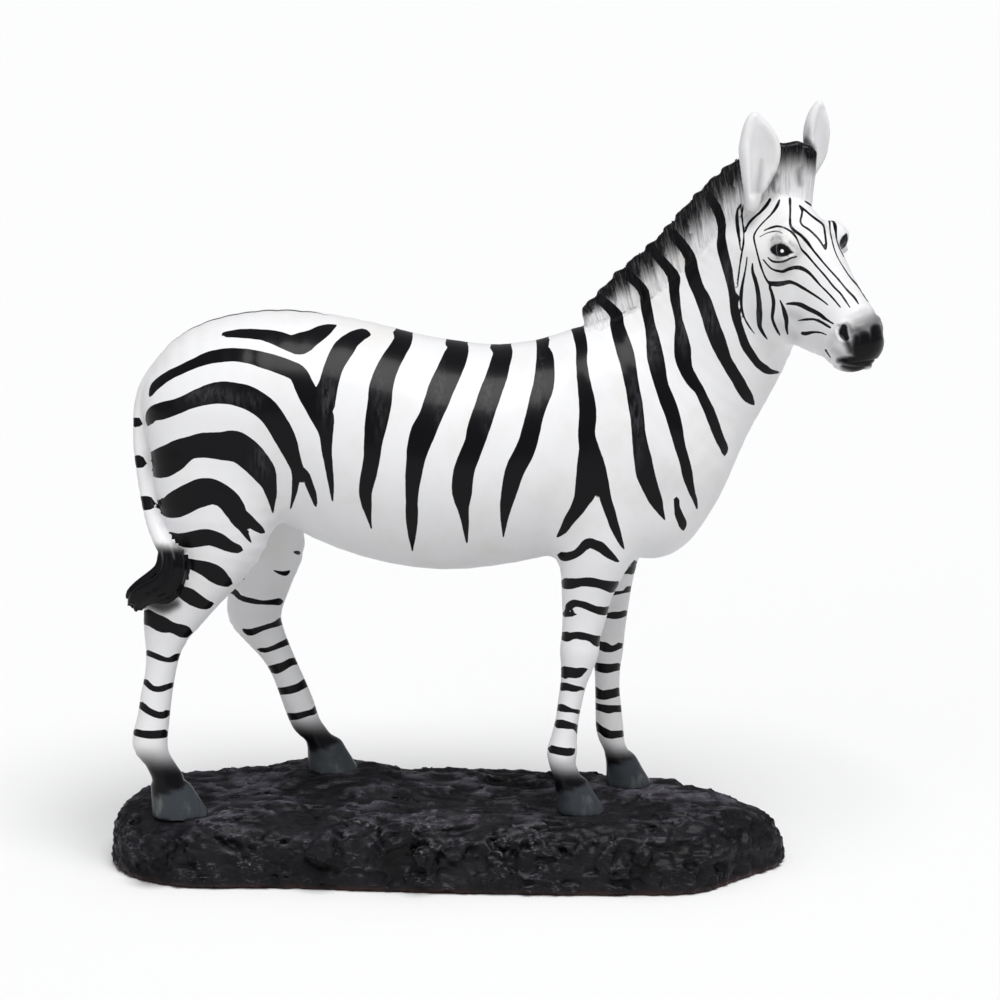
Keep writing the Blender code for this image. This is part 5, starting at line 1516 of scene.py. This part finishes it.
# The shallow ring pressed into the top in front: u, v, y, radius and rim width
ROCK_RING = (671, 818, -33, 6.6, 1.0)
RING_HEIGHT, RING_REACH = 0.8, 8
STONE_REACH, STONE_BLEND, STONE_ROUGHNESS, STONE_GRAIN = 16, 2.0, 1.6, 3.4
# Round a hoof: spreads of the ridge, the seat and the calm, reach, depth of the sole
RIDGE_SPREAD, SEAT_SPREAD, CALM_SPREAD, SEAT_REACH, SOLE_DEPTH = 24.0, 17.0, 15.0, 40, 0.9
WRINKLE_HEIGHT, LUMP_HEIGHT, CRAG_HEIGHT, GRIT_HEIGHT = 1.25, 1.0, 1.05, 0.34
rock_middle = (rock_low + rock_high) / 2
rock_half = (rock_high - rock_low) / 2


def outline_distance(xy):
    """Signed distance to the plinth's outline, below zero inside."""
    corners = np.array(PLINTH_OUTLINE + PLINTH_OUTLINE[:3])
    ring = rounded(corners, 4)[4:4 * (len(PLINTH_OUTLINE) + 1)] * rock_half[:2] + rock_middle[:2]
    distance, winding = np.full(len(xy), 1e9), np.zeros(len(xy), int)
    for start, end in zip(ring, np.roll(ring, -1, axis=0)):
        line, away = end - start, xy - start
        t = np.clip(away @ line / (line @ line), 0, 1)
        distance = np.minimum(distance, np.hypot(*(away - t[:, None] * line).T))
        crosses = (start[1] <= xy[:, 1]) != (end[1] <= xy[:, 1])
        side = line[0] * away[:, 1] - line[1] * away[:, 0]
        winding += np.where(crosses & ((side > 0) == (line[1] > 0)), 1, 0)
    return np.where(winding % 2 == 1, -distance, distance)


def rock_top(xy):
    """Height of the rock's top: swells, the ridge under the far hind hoof, and seats for the hooves."""
    height = np.full(len(xy), ROCK_TOP)
    for share_x, share_y, spread, rise in ROCK_SWELLS:
        away = np.hypot(*(xy - rock_middle[:2] - rock_half[:2] * (share_x, share_y)).T)
        height += rise * np.exp(-(away / spread) ** 2)
    seat = np.zeros(len(xy))
    for name in HOOVES:
        centre = hoof_centre(name) + SHIFT
        away = np.hypot(*(xy - centre[:2]).T)
        if name == "far_hind":
            height += FAR_HIND_RISE * np.exp(-(away / RIDGE_SPREAD) ** 4)
        seat = np.maximum(seat, np.exp(-(away / CALM_SPREAD) ** 4))
        levelled = height + (centre[2] + SOLE_DEPTH - height) * np.exp(-(away / SEAT_SPREAD) ** 4)
        height = np.where(away < SEAT_REACH, levelled, height)
    return height, seat


def rock_plain(points):
    """The plain lump, without any relief."""
    column, back = np.unique(np.round(points[:, :2], 3), axis=0, return_inverse=True)
    back = back.ravel()
    edge = outline_distance(column)[back]
    top, seat = rock_top(column)
    top, seat = top[back], seat[back]
    share = np.clip(points[:, 2] / top, 0.0, 1.0)
    side = edge + ROCK_BATTER * (0.25 * np.clip(1 - share / 0.07, 0, 1) + share ** 1.8)
    value = smooth_max(side, points[:, 2] - top, ROCK_ROUNDING)
    return value, seat, share


def rock_relief(points, seat, share):
    """How far the relief stands out of the plain lump: flowing wrinkles above, crags on the sides."""
    sway = layered_noise(points, 30.0, 5, 2)
    flow = points + sway[:, None] * (0.0, 7.0, 0.0)
    wrinkle = 1.0 - 2.8 * np.abs(layered_noise(flow * (0.34, 1.0, 1.0), 8.0, 11, 3, 0.6))
    lump = layered_noise(points * (0.7, 1.0, 1.0), 19.0, 23, 2)
    twist = np.stack([layered_noise(points, 13.0, seed, 1) for seed in (61, 62, 63)], axis=1)
    twist = points + 3.0 * twist
    crag = 1.0 - 2.8 * np.abs(layered_noise(twist * (0.7, 1.0, 1.1), 6.5, 37, 3, 0.66))
    grit = layered_noise(points, 2.6, 51, 2, 0.6)
    on_top = smooth_step(share, 0.74, 1.0)
    relief = on_top * (WRINKLE_HEIGHT * wrinkle + LUMP_HEIGHT * lump)
    relief = relief + (1 - on_top) * (CRAG_HEIGHT * crag + LUMP_HEIGHT * lump) + GRIT_HEIGHT * grit
    return relief * (1 - 0.8 * seat) * smooth_step(share, -0.05, 0.16)


def rock_field(points):
    """The rock with its stones and its relief, cut flat at the underside."""
    value, seat, share = rock_plain(points)
    for u, v, y, half_x, half_y, half_z, tilt in STONES:
        centre = at(u, v, y) + SHIFT
        turn = math.radians(tilt)
        axes = (np.array((math.cos(turn), 0, math.sin(turn))), np.array((0.0, 1.0, 0.0)),
                np.array((-math.sin(turn), 0, math.cos(turn))))
        close = np.nonzero(np.linalg.norm(points - centre, axis=1) < STONE_REACH)[0]
        if len(close):
            stone = oval_distance(points[close] - centre, axes, np.array((half_x, half_y, half_z), float))
            stone += STONE_ROUGHNESS * value_noise(points[close] / STONE_GRAIN, seed=71)
            value[close] = smooth_min(value[close], stone, STONE_BLEND)
    near = np.abs(value) < 5.0
    if near.any():
        value[near] -= rock_relief(points[near], seat[near], share[near]) - 0.35
    u, v, y, radius, rim = ROCK_RING
    offset = points - (at(u, v, y) + SHIFT)
    away = np.hypot(offset[:, 0], offset[:, 1])
    raised_rim = RING_HEIGHT * np.exp(-((away - radius) / rim) ** 2)
    dip = RING_HEIGHT * (1 - smooth_step(away, radius - 2, radius))
    value -= np.where(np.abs(offset[:, 2]) < RING_REACH, raised_rim - dip, 0.0)
    return np.maximum(value, -points[:, 2])


# %% Skin of the rock
ROCK_STEP = 1.2
ROCK_PROBE, LONGEST_MOVE = 0.15, 0.6
search_box = (*(rock_low[:2] - 6), -2.1), (*(rock_high[:2] + 6), 36.0)
rock_points, rock_faces = skin_of(rock_field, *search_box, ROCK_STEP, reach=7.0)
rock_value = rock_field(rock_points)
nudged = [rock_field(rock_points + ROCK_PROBE * axis) for axis in np.eye(3)]
rock_slope = np.stack([(value - rock_value) / ROCK_PROBE for value in nudged], axis=1)
way_home = rock_value / np.maximum((rock_slope ** 2).sum(axis=1), 0.3)
rock_points -= np.clip(way_home, -LONGEST_MOVE, LONGEST_MOVE)[:, None] * rock_slope
rock_points[:, 2] = np.maximum(rock_points[:, 2], 0.0)
rock = plain_mesh("rock", rock_points, rock_faces)
_, seat, share = rock_plain(rock_points)
raised = rock_relief(rock_points, seat, share)
print("rock:", len(rock_points), "points, relief", raised.min().round(2), "to", raised.max().round(2))

# %% Rock paint
ROCK_BLACK, ROCK_PURPLE = (0.0040, 0.0036, 0.0046, 1), (0.0105, 0.0092, 0.0120, 1)
# The ridge colour is dry-brush and a painted sheen on the parts that face up
ROCK_RIDGE_AND_SHEEN, ROCK_DUST, ROCK_RUST = (0.070, 0.065, 0.082, 1), (0.15, 0.145, 0.16, 1), (0.040, 0.016, 0.014, 1)


def make_rock_finish():
    """Black paint with a purple cast, dry-brushed with grey on all that stands out, and a painted sheen on
    the ridges that face up.
    """
    finish, tree, shader, place = new_finish("painted_rock")
    cloud = noise_node(tree, place, 70.0, detail=4.0, roughness=0.62)
    colour = mixed(tree, ramp_node(tree, cloud, 0.35, 0.7), ROCK_BLACK, ROCK_PURPLE)
    # Parts that stand out and face up are lighter: dry-brush, and a painted sheen where the top catches the
    # light
    slope = times(tree, ramp_node(tree, painted(tree, "upward"), 0.55, 1.0),
                      ramp_node(tree, painted(tree, "raised"), -0.2, 1.8))
    colour = mixed(tree, times(tree, slope, 0.85), colour, ROCK_RIDGE_AND_SHEEN)
    scratch = noise_node(tree, stretched(tree, place, (1.0, 1.0, 2.2)), 420.0, detail=5.0, roughness=0.75)
    brushed = times(tree, ramp_node(tree, painted(tree, "raised"), 0.5, 1.5),
                        ramp_node(tree, scratch, 0.53, 0.68))
    colour = mixed(tree, times(tree, brushed, 0.85), colour, ROCK_DUST)
    edge = times(tree, painted(tree, "foot"), ramp_node(tree, cloud, 0.3, 0.6))
    colour = mixed(tree, edge, colour, ROCK_RUST)
    tree.links.new(colour, shader.inputs["Base Color"])
    tree.links.new(ramp_node(tree, scratch, 0.3, 0.7, 0.50, 0.34), shader.inputs["Roughness"])
    shader.inputs["Specular IOR Level"].default_value = 0.10
    shader.inputs["Coat Weight"].default_value = 0.08
    shader.inputs["Coat Roughness"].default_value = 0.22
    wrinkles = noise_node(tree, stretched(tree, place, (0.42, 1.0, 1.0)), 230.0, detail=6.0, roughness=0.65)
    bump = add_node(tree, "ShaderNodeBump", {"Height": wrinkles, "Strength": 0.7, "Distance": 0.0022})
    tree.links.new(bump.outputs["Normal"], shader.inputs["Normal"])
    return finish


painted_rock = make_rock_finish()
rock.data.materials.append(painted_rock)
put_points(rock.data, rock_points / 1000)
loops = read_all(rock.data.loops, "vertex_index", kind=int)
stands_out = raised + layered_noise(rock_points, 5.0, 91, 2)
store(rock.data, "raised", stands_out[loops])
# How far the skin faces up; it sets the painted sheen on the top of the rock
upward = np.clip(rock_slope[:, 2] / np.maximum(np.linalg.norm(rock_slope, axis=1), 1e-6), 0, 1)
store(rock.data, "upward", upward[loops])
store(rock.data, "foot", (1 - smooth_step(rock_points[:, 2], 0.5, 3.0))[loops])
print("rock paint laid on", len(loops), "corners")

# %% [markdown]
# ## Locks of the mane
# The mane stands up like a brush, and its locks run from the crest to the tip, gathered in small
# tufts. Hair that repeats along a path is work for Geometry Nodes: the crest is a curve that
# carries the way to the tip as an attribute, and points along it each grow one tapering strand.
# Particle hair would need its own shader, and these locks are cast resin.

# %% Crest curve
MANE_STRANDS = 760
STRAND_RADIUS, TUFT_SPACING, TUFT_GATHER = 0.8, 5.5, 0.4
STRAND_POINTS, STRAND_SIDES = 7, 6


def crest_guide():
    """A run of edges along the crest, with the way from root to tip on every point."""
    rows = rounded([(*root, *tip, y) for root, tip, y in MANE], 4)
    roots = np.array([at(u, v, y) for u, v, _, _, y in rows])
    tips = np.array([at(u, v, y) for _, _, u, v, y in rows])
    mesh = bpy.data.meshes.new("crest")
    mesh.from_pydata(roots.tolist(), [(i, i + 1) for i in range(len(roots) - 1)], [])
    rise = mesh.attributes.new("rise_way", "FLOAT_VECTOR", "POINT")
    rise.data.foreach_set("vector", (tips - roots).ravel())
    lengths = np.concatenate(((0.0,), np.cumsum(np.linalg.norm(np.diff(roots, axis=0), axis=1))))
    place = mesh.attributes.new("crest_place", "FLOAT", "POINT")
    place.data.foreach_set("value", lengths)
    return add_object("crest", mesh), lengths[-1]


# %% Tree that grows the strands
STRAND_INPUTS = (
    ("Count", "NodeSocketInt", MANE_STRANDS), ("Radius", "NodeSocketFloat", STRAND_RADIUS),
    ("Half Width", "NodeSocketFloat", MANE_ROOT_WIDTH), ("Spacing", "NodeSocketFloat", TUFT_SPACING),
    ("Gather", "NodeSocketFloat", TUFT_GATHER), ("Seed", "NodeSocketInt", 3),
    ("Finish", "NodeSocketMaterial", painted_zebra))


def grown(host, tree, values, name):
    """The plain mesh that the tree makes on the host, with each input set by its name."""
    modifier = host.modifiers.new("growth", "NODES")
    modifier.node_group = tree
    for socket in tree.interface.items_tree:
        if socket.name in values:
            modifier[socket.identifier] = values[socket.name]
    evaluated = host.evaluated_get(bpy.context.evaluated_depsgraph_get())
    mesh = bpy.data.meshes.new_from_object(evaluated)
    host.modifiers.remove(modifier)
    mesh.name = name
    return add_object(name, mesh)


def read_value(tree, name, kind="FLOAT"):
    """A value that the points carry under the name."""
    item = add_node(tree, "GeometryNodeInputNamedAttribute", {"Name": name}, data_type=kind)
    return item.outputs["Attribute"]


def keep_value(tree, geometry, name, value, kind="FLOAT"):
    """The geometry with the value kept on its points."""
    item = add_node(tree, "GeometryNodeStoreNamedAttribute", {"Geometry": geometry, "Name": name},
                    data_type=kind, domain="POINT")
    tree.links.new(value, item.inputs["Value"])
    return item.outputs["Geometry"]


def vector_node(tree, operation, *values):
    """The result of a sum on vectors."""
    inputs = dict(enumerate(values))
    return add_node(tree, "ShaderNodeVectorMath", inputs, operation=operation).outputs["Vector"]


def scaled(tree, vector, factor):
    """A vector times a number."""
    inputs = {0: vector, "Scale": factor}
    return add_node(tree, "ShaderNodeVectorMath", inputs, operation="SCALE").outputs["Vector"]


def random_number(tree, low, high, seed, shift):
    """A random number for every element; the shift sets it apart from the others."""
    item = add_node(tree, "FunctionNodeRandomValue", {2: low, 3: high}, data_type="FLOAT")
    tree.links.new(math_node(tree, "ADD", seed, float(shift)), item.inputs["Seed"])
    return item.outputs[1]


def strands_tree():
    """Strands that stand along a guide and lean together into tufts."""
    tree = bpy.data.node_groups.new("mane strands", "GeometryNodeTree")
    tree.interface.new_socket("Geometry", in_out="INPUT", socket_type="NodeSocketGeometry")
    for name, kind, _ in STRAND_INPUTS:
        tree.interface.new_socket(name, in_out="INPUT", socket_type=kind)
    tree.interface.new_socket("Geometry", in_out="OUTPUT", socket_type="NodeSocketGeometry")
    start, end = tree.nodes.new("NodeGroupInput"), tree.nodes.new("NodeGroupOutput")
    seed = start.outputs["Seed"]
    crest = add_node(tree, "GeometryNodeMeshToCurve", {"Mesh": start.outputs["Geometry"]}).outputs["Curve"]
    inputs = {"Curve": crest, "Count": start.outputs["Count"]}
    spots = add_node(tree, "GeometryNodeCurveToPoints", inputs, mode="COUNT")
    points = spots.outputs["Points"]
    side = random_number(tree, -1.0, 1.0, seed, 0)
    side = times(tree, math_node(tree, "SIGN", side),
                     math_node(tree, "SQRT", math_node(tree, "ABSOLUTE", side)))
    points = keep_value(tree, points, "side", side)
    points = keep_value(tree, points, "tall", random_number(tree, 0.90, 1.0, seed, 1))
    points = keep_value(tree, points, "thick", random_number(tree, 0.75, 1.25, seed, 2))
    points = keep_value(tree, points, "lean", random_number(tree, -0.5, 0.5, seed, 3))
    position = add_node(tree, "GeometryNodeInputPosition").outputs[0]
    points = keep_value(tree, points, "root", position, "FLOAT_VECTOR")
    points = keep_value(tree, points, "crest_way", spots.outputs["Tangent"], "FLOAT_VECTOR")
    line = add_node(tree, "GeometryNodeCurvePrimitiveLine").outputs[0]
    line = add_node(tree, "GeometryNodeResampleCurve", {"Curve": line, "Count": STRAND_POINTS}).outputs[0]
    real = add_node(tree, "GeometryNodeRealizeInstances", {"Geometry": add_node(
        tree, "GeometryNodeInstanceOnPoints", {"Points": points, "Instance": line}).outputs[0]}).outputs[0]
    t = add_node(tree, "GeometryNodeSplineParameter").outputs["Factor"]
    t_square = times(tree, t, t)
    tuft = math_node(tree, "DIVIDE", read_value(tree, "crest_place"), start.outputs["Spacing"])
    share = math_node(tree, "FRACT", tuft)
    off_middle = math_node(tree, "SUBTRACT", 0.5, share)
    gather = times(tree, start.outputs["Spacing"], start.outputs["Gather"])
    gather = times(tree, times(tree, off_middle, t_square), gather)
    gather = math_node(tree, "ADD", gather, times(tree, read_value(tree, "lean"), t))
    dip = times(tree, math_node(tree, "ABSOLUTE", off_middle), 0.12)
    height = math_node(tree, "SUBTRACT", read_value(tree, "tall"), dip)
    width = times(tree, start.outputs["Half Width"], math_node(
        tree, "SUBTRACT", 1.02, times(tree, t_square, 0.52)))
    width = times(tree, width, read_value(tree, "side"))
    place = vector_node(tree, "ADD", read_value(tree, "root", "FLOAT_VECTOR"), scaled(
        tree, read_value(tree, "rise_way", "FLOAT_VECTOR"), times(tree, t, height)))
    crest_way = read_value(tree, "crest_way", "FLOAT_VECTOR")
    place = vector_node(tree, "ADD", place, scaled(tree, crest_way, gather))
    place = vector_node(tree, "ADD", place, add_node(tree, "ShaderNodeCombineXYZ", {"Y": width}).outputs[0])
    strand = add_node(tree, "GeometryNodeSetPosition", {"Geometry": real, "Position": place}).outputs[0]
    radius = times(tree, start.outputs["Radius"], times(tree, read_value(tree, "thick"), math_node(
            tree, "SUBTRACT", 1.0, times(tree, t_square, 0.72))))
    strand = add_node(tree, "GeometryNodeSetCurveRadius", {"Curve": strand, "Radius": radius}).outputs[0]
    inputs = {"Resolution": STRAND_SIDES, "Radius": 1.0}
    ring = add_node(tree, "GeometryNodeCurvePrimitiveCircle", inputs).outputs[0]
    inputs = {"Curve": strand, "Profile Curve": ring, "Fill Caps": True}
    solid = add_node(tree, "GeometryNodeCurveToMesh", inputs)
    # Some versions of this node take the thickness as an input of its own
    if "Scale" in solid.inputs:
        tree.links.new(radius, solid.inputs["Scale"])
    smooth = add_node(tree, "GeometryNodeSetShadeSmooth", {"Geometry": solid.outputs[0]}).outputs[0]
    last = add_node(tree, "GeometryNodeRealizeInstances", {"Geometry": smooth}).outputs[0]
    inputs = {"Geometry": last, "Material": start.outputs["Finish"]}
    tree.links.new(add_node(tree, "GeometryNodeSetMaterial", inputs).outputs[0], end.inputs["Geometry"])
    return tree


crest, crest_length = crest_guide()
values = {name: value for name, _, value in STRAND_INPUTS}
strands = grown(crest, strands_tree(), values, "mane_strands")
bpy.data.objects.remove(crest)
for name in [layer.name for layer in strands.data.attributes]:
    if name in ("side", "tall", "thick", "lean", "root", "crest_way", "rise_way", "crest_place"):
        strands.data.attributes.remove(strands.data.attributes[name])
paint(strands.data, only="mane")
print("crest:", round(crest_length), "mm; strand faces:", len(strands.data.polygons))

# %% [markdown]
# ## Into the frame
# The sculpture is in pattern millimetres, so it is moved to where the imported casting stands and
# turned into metres.

# %% Placing the casting
for piece in (zebra, strands):
    put_points(piece.data, (points_of(piece.data) + SHIFT) / 1000)
    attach(piece, "root")
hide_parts("zebra")
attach(rock, "root")
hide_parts("rock_plinth")
print("casting, mm:", points_of(zebra.data).min(axis=0) * 1000, points_of(zebra.data).max(axis=0) * 1000)
print("packed box, mm:", zebra_low, zebra_high)

# %% Camera, light and floor
SENSOR_WIDTH = 36.0
camera_data = bpy.data.cameras.new("camera")
camera_data.sensor_width = SENSOR_WIDTH
camera_data.lens = SENSOR_WIDTH * VIEW_DISTANCE / UNIT / 1000
camera = add_object("camera", camera_data)
camera.location = (EYE + SHIFT) / 1000
camera.rotation_euler = (math.pi / 2 - VIEW_PITCH, 0, 0)
bpy.context.scene.camera = camera
world = bpy.data.worlds.new("studio")
bpy.context.scene.world = world
world.use_nodes = True
world.node_tree.nodes["Background"].inputs["Color"].default_value = (0.96, 0.97, 1.0, 1.0)
world.node_tree.nodes["Background"].inputs["Strength"].default_value = 0.30
bpy.context.scene.view_settings.view_transform = "Standard"


def soft_sun(name, place, power, spread):
    """Even light from one direction, soft by its wide disc."""
    data = bpy.data.lights.new(name, "SUN")
    data.energy, data.angle = power, math.radians(spread)
    item = add_object(name, data)
    item.location = place
    item.rotation_euler = (-Vector(place)).to_track_quat("-Z", "Y").to_euler()


soft_sun("key", (0.22, -0.60, 1.4), power=3.1, spread=40)
soft_sun("fill", (-0.9, -1.0, 0.6), power=0.30, spread=50)
floor_mesh = bpy.data.meshes.new("floor")
reach = 40.0
floor_mesh.from_pydata([(-reach, -reach, 0), (reach, -reach, 0), (reach, reach, 0), (-reach, reach, 0)],
                       [], [(0, 1, 2, 3)])
floor = add_object("floor", floor_mesh)
